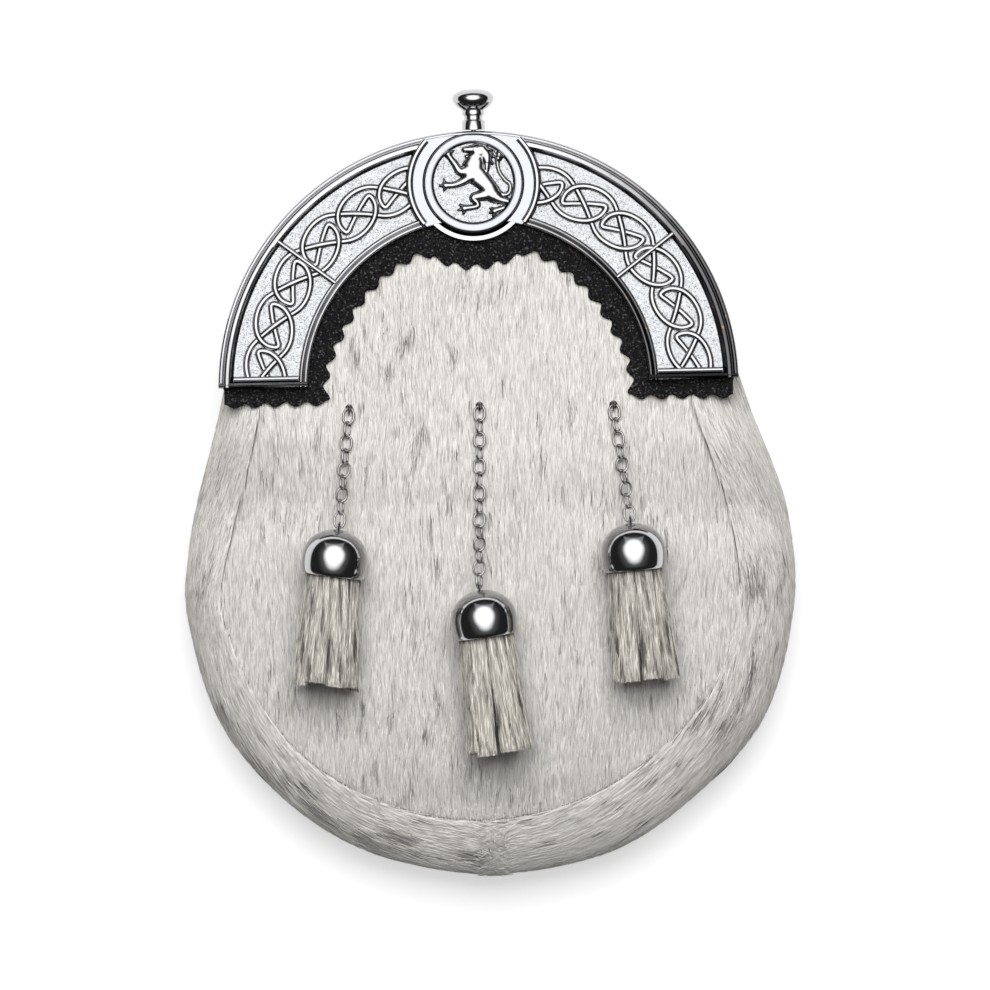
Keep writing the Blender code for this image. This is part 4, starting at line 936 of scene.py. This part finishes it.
LION_LIMBS = (
    # x, y and radius along each limb, in field radii: body, head, jaw, ear and mane
    ((0.12, 0.72, 0.183), (0.03, 0.5, 0.249), (0.0, 0.3, 0.289), (0.17, 0.12, 0.249), (0.37, -0.1, 0.21),
     (0.5, -0.3, 0.21)),
    ((0.24, 0.84, 0.143), (0.14, 0.84, 0.17), (0.0, 0.85, 0.116), (-0.2, 0.85, 0.076)),
    ((0.08, 0.73, 0.103), (-0.03, 0.69, 0.07), (-0.16, 0.67, 0.05)),
    ((0.26, 0.9, 0.076), (0.33, 0.94, 0.037)),
    ((0.22, 0.84, 0.17), (0.33, 0.7, 0.156), (0.35, 0.48, 0.103), (0.34, 0.24, 0.037)),
    ((0.34, 0.79, 0.09), (0.46, 0.83, 0.037)), ((0.38, 0.68, 0.09), (0.51, 0.66, 0.037)),
    ((0.38, 0.55, 0.09), (0.5, 0.48, 0.037)), ((0.1, 0.62, 0.09), (-0.08, 0.52, 0.03)),
    # forelegs, each with three claws
    ((-0.1, 0.32, 0.17), (-0.32, 0.3, 0.123), (-0.45, 0.48, 0.09), (-0.57, 0.65, 0.076),
     (-0.62, 0.73, 0.096)),
    ((-0.64, 0.74, 0.057), (-0.74, 0.74, 0.026)), ((-0.62, 0.78, 0.057), (-0.66, 0.87, 0.026)),
    ((-0.58, 0.76, 0.057), (-0.5, 0.82, 0.026)),
    ((-0.05, 0.18, 0.156), (-0.27, 0.04, 0.11), (-0.48, -0.04, 0.083), (-0.7, -0.05, 0.083)),
    ((-0.72, -0.01, 0.057), (-0.74, 0.09, 0.026)), ((-0.74, -0.05, 0.057), (-0.85, -0.06, 0.026)),
    ((-0.7, -0.09, 0.057), (-0.75, -0.18, 0.026)),
    # hind legs, each with three claws
    ((0.45, -0.26, 0.196), (0.2, -0.32, 0.143), (0.0, -0.38, 0.116), (0.1, -0.52, 0.07), (0.06, -0.6, 0.07),
     (-0.24, -0.64, 0.076)),
    ((-0.26, -0.6, 0.057), (-0.35, -0.55, 0.026)), ((-0.28, -0.65, 0.057), (-0.39, -0.69, 0.026)),
    ((-0.23, -0.68, 0.057), (-0.27, -0.78, 0.026)),
    ((0.5, -0.34, 0.183), (0.7, -0.44, 0.116), (0.87, -0.5, 0.076), (0.82, -0.62, 0.063),
     (0.52, -0.72, 0.076)),
    ((0.5, -0.69, 0.057), (0.41, -0.66, 0.026)), ((0.49, -0.74, 0.057), (0.4, -0.77, 0.026)),
    ((0.53, -0.77, 0.057), (0.48, -0.85, 0.026)),
    # tail and its tuft
    ((0.6, -0.26, 0.076), (0.8, -0.32, 0.057), (0.91, -0.24, 0.057), (0.92, -0.05, 0.05), (0.8, 0.06, 0.05),
     (0.67, 0.25, 0.05), (0.62, 0.45, 0.05), (0.63, 0.62, 0.076)),
    ((0.63, 0.6, 0.076), (0.56, 0.71, 0.05), (0.52, 0.8, 0.026)),
    ((0.64, 0.62, 0.09), (0.67, 0.76, 0.063), (0.66, 0.88, 0.03)),
    ((0.65, 0.6, 0.076), (0.74, 0.68, 0.05), (0.8, 0.76, 0.026)),
)
CANTLE_LIFT = CANTLE_LEATHER + 2 * GAP
LEG_SHADE_HEADING = (-0.6, 1.0, 0.0)  # the rim's painted light grows this way, and its painted shade is darkest down its right leg
LEG_SHADE_EDGES = (25.0, 112.0)  # in mm
LEG_SHADE_UNEVEN = 30.0
SPECK_SIZE = 1.6
SPECK_EDGES = (0.64, 0.7)
STIPPLE = (0.62, 0.3)  # size and depth
CHROME_COLOR = (0.52, 0.52, 0.535, 1)
chrome_finish = Finish("chrome", Base_Color=CHROME_COLOR, Metallic=1.0, Roughness=0.1)
stippled_finish = Finish("stippled_chrome", Base_Color=(0.5, 0.51, 0.525, 1), Metallic=1.0, Roughness=0.28)
stippled_finish.bump(stippled_finish.noise(STIPPLE[0], detail=1.0), STIPPLE[1])
# painted shade: near-black chrome on the rims' and bars' feet, in the boss's groove, on the lion's steep
# flanks and on one low end bar, where the reflection falls dark
painted_shade_finish = Finish("chrome_painted_shade", Base_Color=(0.05, 0.05, 0.055, 1), Metallic=1.0, Roughness=0.3)
brushed_finish = Finish("brushed_chrome", Base_Color=(0.44, 0.455, 0.48, 1), Metallic=1.0, Roughness=0.22)
# chrome painted darker down the arch's legs, darkest down the right one and fading towards the top: painted
# shade and dark reflection, with brown specks in the dark
shaded_legs_finish = Finish("chrome_shaded_legs", Metallic=1.0, Roughness=0.16)
high_left = shaded_legs_finish.dot(shaded_legs_finish.place(), LEG_SHADE_HEADING)
painted_lit = (high_left + (shaded_legs_finish.noise(7.0) - 0.5) * LEG_SHADE_UNEVEN).between(*LEG_SHADE_EDGES)
shaded_legs_color = shaded_legs_finish.mixed(painted_lit, (0.1, 0.1, 0.104, 1), CHROME_COLOR)
specks = shaded_legs_finish.noise(SPECK_SIZE, detail=3.0).between(*SPECK_EDGES) * (1.0 - painted_lit)
shaded_legs_finish.set(Base_Color=shaded_legs_finish.mixed(specks, shaded_legs_color, (0.3, 0.17, 0.1, 1)))
CHROMES = (chrome_finish, stippled_finish, painted_shade_finish, brushed_finish, shaded_legs_finish)


def section_kinds(groups, sides, steps, plain=POLISHED):
    """Each face's kind: by its step round the section, and plain at the ends."""
    kinds = np.full(sum(len(faces) for faces in groups), plain)
    along = len(groups[0]) // sides * sides
    for step, kind in steps.items():
        kinds[step:along:sides] = kind
    return kinds


def chrome_piece(name, drawing, groups, kinds, stands_for, smooth_angle):
    """A piece laid on the front from its flat drawing, with each face in its own kind of chrome."""
    points = lay_on_front(drawing, CANTLE_LIFT)
    mesh = piece(name, points, groups, chrome_finish, "chrome", stands_for, smooth_angle).data
    for finish in CHROMES[1:]:
        mesh.materials.append(finish.material)
    mesh.polygons.foreach_set("material_index", kinds.astype(np.int32))


def swept(path, half_width, height, foot=BAR_FOOT[0], plain=POLISHED):
    """A bar: a section with bevelled corners and a slightly domed top, carried along a path in the drawing.
    Its foot reaches into what it lies on, and is painted dark as shade, or in brushed chrome where it faces
    the light."""
    side = [(half_width * (1 - inward), height - lower) for inward, lower in BAR_CORNER]
    side = [(half_width + foot, -BAR_FOOT[1]), *side]
    profile = np.array(side + [(0.0, height)] + [(-x, z) for x, z in side[::-1]])
    heading = unit(np.gradient(path[:, :2], axis=0))
    across = np.column_stack([heading[:, 1], -heading[:, 0]])
    rings = path[:, None, :2] + across[:, None] * profile[:, :1]
    points, groups = loft(raised(rings, path[:, None, 2] + profile[:, 1]))
    kinds = section_kinds(groups, len(profile), BAR_STEPS, plain)
    for step, facing in zip(BAR_STEPS, (across[:-1, 1], -across[:-1, 1])):
        kinds[step + len(profile) * np.flatnonzero(facing > BAR_LIT)] = BRUSHED
    return points, groups, kinds


share, height = np.array(ARCH_SECTION).T
leg = math.degrees(math.asin(LEG_END / ARCH_OUTER[1]))
degrees = np.linspace(leg, 180 - leg, ARCH_RINGS)[:, None]
rings = raised(arch_point(share / ARCH_WIDTH, degrees), height)
from_boss = np.linalg.norm(rings[..., :2] - MEDALLION_CENTER, axis=-1)
collar = (from_boss < SIDE_ARC[0]) & (share < COLLAR_EDGE)
rings[..., 2] = np.where(collar, np.minimum(rings[..., 2], PLATE), rings[..., 2])
points, groups = loft(rings, "ladder")
parts = [(points, groups, section_kinds(groups, len(share), ARCH_STEPS, SHADED_LEGS))]

# the collar's plate, from arc to arc and from the inner edge to the outer lip
share = np.linspace(0.2, COLLAR_EDGE, 40)[:, None] / ARCH_WIDTH
degrees = np.linspace(90, 130, 200)
ends = []
for sign in (1, -1):
    reach = np.linalg.norm(arch_point(share, 90 + sign * (degrees - 90)) - MEDALLION_CENTER, axis=-1)
    ends.append([90 + sign * (np.interp(SIDE_ARC[0], row, degrees) - 90) for row in reach])
low, high = np.array(ends)[..., None]
top = arch_point(share, low + (high - low) * np.linspace(0, 1, 40))
rings = np.concatenate([raised(top, COLLAR_LEVEL), raised(top, COLLAR_FOOT)[:, ::-1]], axis=1)
points, groups = loft(rings, "ladder")
parts.append((points, groups, np.full(sum(map(len, groups)), BRUSHED)))

# two strands, one motif apart, which end where the boss and the end bars begin
half = np.array(STRAND_TABLE)
two_motifs = np.vstack([half[:-1], half[::-1][:-1] * (-1, -1, 1) + (2, 0, 0)])
for start in (-2, -1):
    rows = np.vstack([two_motifs + (2 * k + start, 0, 0) for k in range(MOTIF_PAIRS)])
    path = spline(rows, np.arange(0, len(rows) - 4, 1 / STRAND_STEPS))
    degrees = 180 - MOTIF_SHIFT - path[:, 0] * MOTIF_PITCH
    place = polar(MOTIF_RADIUS + path[:, 1] * MOTIF_HALF_HEIGHT, degrees) * (1, ARCH_OUTER[1] / ARCH_OUTER[0])
    inside = place[:, 1] > LEG_END + END_BARS[0][0]
    inside &= np.linalg.norm(place - MEDALLION_CENTER, axis=1) > SIDE_ARC[0]
    edges = np.flatnonzero(np.diff(np.concatenate([[0], inside, [0]])))
    for first, last in edges.reshape(-1, 2):
        if last - first > 3:
            run = raised(place[first:last], PLATE + path[first:last, 2])
            parts.append(swept(run, *STRAND))

for side in (-1, 1):
    degrees = 90 - side * (90 - DIVIDER_ANGLE)
    line = raised(arch_point(np.linspace(*DIVIDER_SPAN, 12), degrees), PLATE)
    parts.append(swept(line, *DIVIDER))
    for up, inward, outward, base, half_width, height, kind in END_BARS:
        across = side * np.linspace(ARCH_INNER[0] + inward, ARCH_OUTER[0] - outward, 12)
        line = raised(np.column_stack([across, np.full(12, LEG_END + up)]), base)
        parts.append(swept(line, half_width, height, plain=kind))
for low_angle, high_angle in SIDE_ARC_ANGLES:
    arc = polar(SIDE_ARC[0], np.linspace(low_angle, high_angle, 40)) + MEDALLION_CENTER
    parts.append(swept(raised(arc, PLATE), *SIDE_ARC[1:]))


def joined(parts):
    """One set of points and faces from several."""
    starts = np.cumsum([0] + [len(points) for points, _ in parts[:-1]])
    groups = [faces + start for (_, group), start in zip(parts, starts) for faces in group]
    return np.vstack([points for points, _ in parts]), groups


def spun(profile, sides):
    """A solid of revolution about Z from (radius, height) rows."""
    angle = np.linspace(0, 2 * np.pi, sides, endpoint=False)
    profile = np.asarray(profile, float)
    rings = profile[:, None, :1] * np.stack([np.cos(angle), np.sin(angle)], axis=-1)
    return loft(raised(rings, profile[:, 1:]))


def lion_height(place):
    """Each limb is a round bar along a curve, whose radius changes evenly between the curve's points. Where
    limbs meet, their heights are added as powers, which rounds the crease."""
    height = np.zeros(len(place))
    for limb in LION_LIMBS:
        rows = spline(open_ends(limb), np.linspace(0, len(limb) - 1, 5 * len(limb) - 4))
        tallest = np.zeros(len(place))
        for first, last in zip(rows[:-1], rows[1:]):
            line = last[:2] - first[:2]
            at = np.clip((place - first[:2]) @ line / (line @ line), 0, 1)
            radius = first[2] + (last[2] - first[2]) * at
            off = np.linalg.norm(place - first[:2] - at[:, None] * line, axis=1) / radius
            top = LION_RISE * np.minimum(radius / LION_FULL_RADIUS, 1) ** LION_THINNING
            tallest = np.maximum(tallest, top * np.sqrt(np.clip(1 - off**2, 0, 1)))
        height += tallest**LION_SPREAD
    return height ** (1 / LION_SPREAD)


field_rows = [(radius, FIELD_LEVEL) for radius in np.linspace(0.1, MEDALLION_FIELD, FIELD_ROWS)]
disc, groups = spun([*field_rows, *MEDALLION_PROFILE, (0.3, 0.0)], MEDALLION_SIDES)
field = np.arange(FIELD_ROWS * MEDALLION_SIDES)
disc[field, 2] += lion_height(disc[field, :2] / MEDALLION_FIELD)
row = np.arange(len(groups[0])) // MEDALLION_SIDES
corners = disc[groups[0]]
slope = np.cross(corners[:, 2] - corners[:, 0], corners[:, 3] - corners[:, 1])
in_field = row < FIELD_ROWS - 1
kinds = np.where(in_field & (corners[..., 2].max(1) < FIELD_LEVEL + FIELD_TOUCH), STIPPLED, POLISHED)
kinds[in_field & (np.abs(unit(slope)[:, 2]) < FIELD_STEEP)] = PAINTED_SHADE
kinds[np.isin(row, FIELD_ROWS + np.array(GROOVE_STEPS))] = PAINTED_SHADE
kinds[np.isin(row, FIELD_ROWS + np.array(RING_STEPS))] = BRUSHED
disc[:, :2] += MEDALLION_CENTER
share = np.linalg.norm(disc[:, :2] / ARCH_OUTER, axis=1, keepdims=True)
disc[:, :2] /= np.maximum(share / MEDALLION_LIMIT, 1)
chrome_piece("cantle_medallion", disc, groups, np.pad(kinds, (0, len(groups[1]))), (), smooth_angle=50)

points, groups = joined([part[:2] for part in parts])
kinds = np.concatenate([part[2] for part in parts])
chrome_piece("cantle_casting", points, groups, kinds, ["cantle"], smooth_angle=35)

# ------------------------------------------------------------------ knob
# The turned knob of the clasp stands out of the arch's top edge, chromed like the arch. It is a profile spun
# round, laid down and sunk a little into the rim.
KNOB_PROFILE = (
    # radius, distance from the top
    (0.3, 0.0), (2.0, 0.1), (3.6, 0.35), (5.2, 0.95), (6.3, 1.9), (6.65, 2.9), (6.5, 3.9), (5.9, 4.9),
    (4.9, 5.8), (3.9, 6.4), (3.4, 6.8), (3.5, 7.0), (3.5, 8.2), (3.4, 8.4), (2.9, 8.6), (2.9, 9.8),
    (3.5, 10.1), (3.65, 10.3), (3.65, 13.0), (0.9, 13.1), (0.9, 17.0), (0.3, 17.0),
)
KNOB_SEAT = (0.1, 80.0, 1.7)  # in the arch's drawing
KNOB_HEIGHT = 13.0
points, groups = spun([(radius, KNOB_HEIGHT - down) for radius, down in KNOB_PROFILE], 64)
points = points[:, [0, 2, 1]] * (-1, 1, 1) + KNOB_SEAT
points = lay_on_front(points, CANTLE_LIFT)
piece("knob", points, groups, chrome_finish, "chrome", ["top_knob"], smooth_angle=35)

# ------------------------------------------------------------------ staples and chains
# Three staples of plated wire go through the hide, each in a black eyelet. From each hangs a chain of oval
# links, which lies on the front and climbs at its end to the eye of a bell.
DROP_TABLE = (
    # name, staple_x, staple_y, links, bell_eye_x, bell_eye_y, bell_turn, tassel_turn, tassel_length, brown
    ("left", -44.6, 23.2, 9, -47.5, -13.4, 7.5, 3.5, 35.5, 0.12),
    ("center", -3.9, 24.0, 14, -4.0, -32.2, -8.5, -6.7, 37.0, -0.3),
    ("right", 37.9, 24.4, 9, 43.0, -11.4, -5.2, -5.7, 35.2, 0.12),
)
WIRE = 0.78
EYE_RADIUS = 1.44  # of the middle of its wire
STAPLE_HEIGHT = 1.5
LINK_WIDTH = 4.2
LINK_OVERLAP = 0.24
LINK_ROLLS = (15.0, -62.0)  # by turns nearly flat and nearly on edge
LINK_STRAIGHT = 2.5  # the more, the straighter its long sides
STAPLE_STEM = (
    # radius, height
    (0.1, -1.2), (0.75, -1.2), (0.75, -4.0), (2.6, -4.2), (2.6, -4.9), (0.1, -4.9),
)
EYELET = ((0.1, 0.75), (1.0, 0.8), (1.35, 0.6), (1.35, -0.5), (0.1, -0.5))
EYELET_ABOVE = 0.3
CHAIN_REST = 1.95  # its middle line over the front
CHAIN_START = 5.0  # how far from the staple it gets there
CHAIN_CLIMB = 24.0  # how far from the bell it leaves
BELL_EYE_HEIGHT = 15.4
BELL_RADIUS = 10.3
BELL_ROOM = 0.15
wire_finish = Finish("plated_wire", Base_Color=(0.5, 0.49, 0.48, 1), Metallic=1.0, Roughness=0.12)


def bell_frame(row):
    """Where the bell's rim is, and the directions across it, into the hide and towards its crown."""
    eye, turn = np.array(row[4:6]), math.radians(row[6])
    axis = np.array([math.sin(turn), math.cos(turn), 0.0])
    rim = eye - axis[:2] * BELL_EYE_HEIGHT
    height = max(front_height(*rim), front_height(*eye)) + GAP + BELL_RADIUS + BELL_ROOM
    across = np.cross(axis, (0, 0, 1))
    return np.array([*rim, height]), np.stack([across, np.cross(axis, across), axis])


def chain_path(row):
    """The chain's middle line: along the front, then up to the bell's eye by a smooth step."""
    start, end = np.array(row[1:3]), np.array(row[4:6])
    share = np.linspace(0, 1, 200)
    place = start + (end - start) * share[:, None]
    length = np.linalg.norm(end - start)
    staple, bell = front_height(*start) + STAPLE_HEIGHT, bell_frame(row)[0][2]
    rest = front_height(place[:, 0], place[:, 1]) + CHAIN_REST
    climb = np.clip(1 - (1 - share) * length / CHAIN_CLIMB, 0, 1)
    begin = np.clip(share * length / CHAIN_START, 0, 1)
    heights = rest + (bell - rest) * climb**2 * (3 - 2 * climb)
    return raised(place, heights * begin + staple * (1 - begin))


def ring_of_wire(center, along, side, half_length, half_width, steps=24, sides=8):
    """A wire round a circle in the plane of two directions, whose halves are drawn apart by the tanh of the
    cosine."""
    turn = np.linspace(0, 2 * np.pi, steps, endpoint=False)[:, None]
    straight = max(half_length - half_width, 0)
    line = half_width * (np.cos(turn) * along + np.sin(turn) * side)
    line = line + straight * np.tanh(LINK_STRAIGHT * np.cos(turn)) * along
    heading = unit(np.roll(line, -1, axis=0) - np.roll(line, 1, axis=0))
    flat = np.cross(along, side)
    out = np.cross(heading, flat)
    angle = np.linspace(0, 2 * np.pi, sides, endpoint=False)[:, None]
    rings = line[:, None] + WIRE / 2 * (np.cos(angle) * out[:, None] + np.sin(angle) * flat)
    return loft(rings + center, "loop")


for row in DROP_TABLE:
    name, x, y, links = row[:4]
    surface = np.array([x, y, front_height(x, y)])
    eye = surface + (0, 0, STAPLE_HEIGHT)
    ring = ring_of_wire(eye, (0, 1, 0), (0, 0, 1), EYE_RADIUS, EYE_RADIUS)
    stem, stem_groups = spun(STAPLE_STEM, 16)
    staple = joined([ring, (stem + eye, stem_groups)])
    piece("staple_" + name + "_wire", *staple, wire_finish, "chrome", ["staple_" + name], smooth_angle=40)
    hole, hole_groups = spun(EYELET, 20)
    hole = hole + surface + (0, EYELET_ABOVE, 0)
    piece("staple_" + name + "_hole", hole, hole_groups, leather_finish, "black_leather", smooth_angle=40)

    path = chain_path(row)
    distance = np.concatenate([[0], np.cumsum(np.linalg.norm(np.diff(path, axis=0), axis=1))])
    pitch = distance[-1] / links
    joints = np.column_stack([np.interp(np.arange(links + 1) * pitch, distance, column) for column in path.T])
    half_length, half_width = (pitch - LINK_OVERLAP + WIRE) / 2, (LINK_WIDTH - WIRE) / 2
    rings = []
    for number, (first, last) in enumerate(zip(joints[:-1], joints[1:])):
        along = unit(last - first)
        flat = unit(np.cross(along, (0, 0, 1)))
        roll = math.radians(LINK_ROLLS[number % 2])
        side = flat * math.cos(roll) + np.cross(along, flat) * math.sin(roll)
        rings.append(ring_of_wire((first + last) / 2, along, side, half_length, half_width))
    chain = joined(rings)
    piece("chain_" + name + "_links", *chain, wire_finish, "chrome", ["chain_" + name], smooth_angle=60)

# ------------------------------------------------------------------ bells
# A hollow turned dome of chromed metal hangs by a wire eye from each chain. It lies on its side and holds the
# tassel's upper end.
BELL_PROFILE = (
    # outer radius, height over the rim
    (0.3, 14.65), (1.2, 14.6), (2.8, 14.35), (4.2, 13.9), (5.8, 13.1), (7.2, 12.1), (8.4, 10.9), (9.3, 9.4),
    (10.0, 7.6), (10.3, 5.6), (10.3, 4.2), (10.2, 2.6), (9.95, 1.1), (9.7, 0.2), (9.5, 0.0),
    (9.0, 0.0), (8.9, 0.5), (9.3, 3.6), (8.5, 8.6), (4.8, 12.2), (0.3, 13.2),
)
for row in DROP_TABLE:
    rim, directions = bell_frame(row)
    loop = ring_of_wire((0, 0, BELL_EYE_HEIGHT), (0, 0, 1), (0, 1, 0), EYE_RADIUS, EYE_RADIUS)
    points, groups = joined([spun(BELL_PROFILE, 64), loop])
    name = "bell_" + row[0]
    piece(name + "_dome", rim + points @ directions, groups, chrome_finish, "chrome", [name], smooth_angle=40)

# ------------------------------------------------------------------ tassels
# Eight strips of long-haired hide hang from each bell round an oval, cut straight at the end. They are cream
# with brown and grey streaks, and swing a little apart.
TASSEL_STRIPS = 8
TASSEL_STRIP = (5.2, 1.7)
TASSEL_TOP = (7.0, 6.2)  # half axes of the oval, across and out of the front
TASSEL_BOTTOM = (8.6, 6.0)
STRIP_CORNER = 0.4  # the less, the sharper the strip's corners
STRIP_TOP = 1.0  # how far into the bell it begins
STRIP_TURN = 0.9  # how unevenly they swing, in degrees
STRIP_OFF = (-0.3, 0.5)
STRIP_LONGER = (-1.2, 0.6)
TASSEL_DROP = 2.4  # how far its lower end sinks to the hide
TASSEL_HAIRS = 6800
TASSEL_HAIR_LENGTHS = (5.0, 9.0)
TASSEL_HAIR_WIDTHS = (0.15, 0.28)
TASSEL_HAIR_LIFTS = (0.2, 0.45)
TASSEL_STRAYING = 0.06
HAIR_END = 0.3  # how far it may pass the strip's end
HAIR_ABOVE = 0.16  # by how much of the strip's length it may begin above it
LAST_TURN = 0.997  # keeps its turn short of the next strip
HAIR_STEP = 2e-3  # over which its directions are measured
BROWN_SHARE = 0.28  # of the hairs between the streaks
SINGLE_BROWN = (0.3, 0.9)  # how brown those are
BROWNEST = 0.9
TONES = (0.7, 1.05)
STREAKS = (9.0, 11.0, 2.0)  # steps across a strip, length of a step along it, and steps to a streak
BROWN_EDGE = (1.6, -0.4, 0.45)  # how sharply a streak turns brown, where, and how unevenly
CREAM_HAIR = np.array([0.72, 0.69, 0.63])
BROWN_HAIR = np.array([0.05, 0.042, 0.04])


def power(value, exponent):
    """The value's size to this power, with its sign."""
    return np.sign(value) * np.abs(value) ** exponent


def strip_section(turn):
    """The places across and through a strip at this turn round it: cosine and sine to a power below 1, which
    makes the circle a rectangle with round corners."""
    width, thickness = TASSEL_STRIP
    angle = 2 * np.pi * turn
    return power(np.cos(angle), STRIP_CORNER) * width / 2, power(np.sin(angle), STRIP_CORNER) * thickness / 2


def strip_surface(row, swings, along, over):
    """Points of the strips, in the bell's directions. over counts the strips and goes round each: a flat
    section with round corners, carried from the upper oval to the lower one. swings holds each strip's turn
    from the others, in degrees, how far it stands off, and how much longer it is."""
    number = np.clip(np.floor(over).astype(int), 0, TASSEL_STRIPS - 1)
    turn, off, longer = np.moveaxis(swings[number], -1, 0)
    angle = 2 * np.pi * (number + 0.5) / TASSEL_STRIPS
    half = np.array(TASSEL_TOP) + (np.array(TASSEL_BOTTOM) - TASSEL_TOP) * along[..., None]
    around = np.stack([np.cos(angle), np.sin(angle)], axis=-1)
    tangent = unit(half * np.stack([-np.sin(angle), np.cos(angle)], axis=-1))
    outward = np.stack([tangent[..., 1], -tangent[..., 0]], axis=-1)
    across, through = strip_section(over - number)
    drop = along * (row[8] + longer)
    across, through = across + np.tan(np.radians(turn)) * drop, through + off * along
    place = half * around + tangent * across[..., None] + outward * through[..., None]
    place[..., 0] += np.tan(np.radians(row[6] - row[7])) * drop
    place[..., 1] += TASSEL_DROP * along
    return raised(place, STRIP_TOP - drop)


def even_turn(share):
    """The turn round a strip's section at this share of the way round it. Equal steps of the turn crowd at
    the section's corners, so the way is measured along a polyline."""
    turn = np.linspace(0, 1, 2001)
    across, through = strip_section(turn)
    way = np.concatenate([[0], np.cumsum(np.hypot(np.diff(across), np.diff(through)))])
    return np.interp(share, way / way[-1], turn)


strip_finish = Finish("tassel_skin", Roughness=0.8)
strip_color = strip_finish.mixed(strip_finish.noise(5.0), (0.3, 0.28, 0.25, 1), (0.45, 0.42, 0.38, 1))
strip_finish.set(Base_Color=strip_color)
for row in DROP_TABLE:
    rim, directions = bell_frame(row)
    turns = rng.normal(0, STRIP_TURN, TASSEL_STRIPS)
    spans = [rng.uniform(*span, TASSEL_STRIPS) for span in (STRIP_OFF, STRIP_LONGER)]
    swings = np.column_stack([turns, *spans])
    strips = []
    for number in range(TASSEL_STRIPS):
        turn = np.linspace(0, 0.999, 17)[:-1]
        along, over = np.meshgrid(np.linspace(0, 1, 16), number + turn, indexing="ij")
        strips.append(loft(strip_surface(row, swings, along, over)))
    points, groups = joined(strips)
    points = rim + points @ directions
    name = "tassel_" + row[0]
    piece(name + "_strips", points, groups, strip_finish, "tassel_hide", [name], smooth_angle=40)

    along = rng.random(TASSEL_HAIRS) * (1 + HAIR_ABOVE) - HAIR_ABOVE
    even = rng.random(TASSEL_HAIRS) * TASSEL_STRIPS
    number = np.floor(even)
    turn = LAST_TURN * even_turn(even - number)
    root = strip_surface(row, swings, along, number + turn)
    opposite = strip_surface(row, swings, along, number + (turn + 0.5) % 1)
    lay = unit(strip_surface(row, swings, along + HAIR_STEP, number + turn) - root)
    up = unit(np.cross(lay, strip_surface(row, swings, along, number + turn + HAIR_STEP) - root))
    up = away(up, root, opposite)
    lay = turned(lay, up, rng.normal(0, TASSEL_STRAYING, TASSEL_HAIRS))
    length = np.minimum(rng.uniform(*TASSEL_HAIR_LENGTHS, TASSEL_HAIRS), (1 - along) * row[8] + HAIR_END)
    streak_places = np.column_stack([even * STREAKS[0], along * row[8] / STREAKS[1]])
    steepness, start, unevenness = BROWN_EDGE
    brown = steepness * ripple(streak_places, STREAKS[2], seed=21, waves=9) + start + row[9]
    brown = brown + rng.normal(0, unevenness, TASSEL_HAIRS)
    single = (rng.random(TASSEL_HAIRS) < BROWN_SHARE) * rng.uniform(*SINGLE_BROWN, TASSEL_HAIRS)
    brown = np.clip(np.maximum(brown, single), 0, 1)[:, None] * BROWNEST
    tone = (CREAM_HAIR * (1 - brown) + BROWN_HAIR * brown) * rng.uniform(*TONES, (TASSEL_HAIRS, 1))
    width, lift = (rng.uniform(*span, TASSEL_HAIRS) for span in (TASSEL_HAIR_WIDTHS, TASSEL_HAIR_LIFTS))
    root, up, lay = rim + root @ directions, up @ directions, lay @ directions
    coat(name + "_hair", root, up, lay, length, width, lift, [tone * ROOT_SHADE, tone, tone], "tassel_hide")

low, high = cad_box
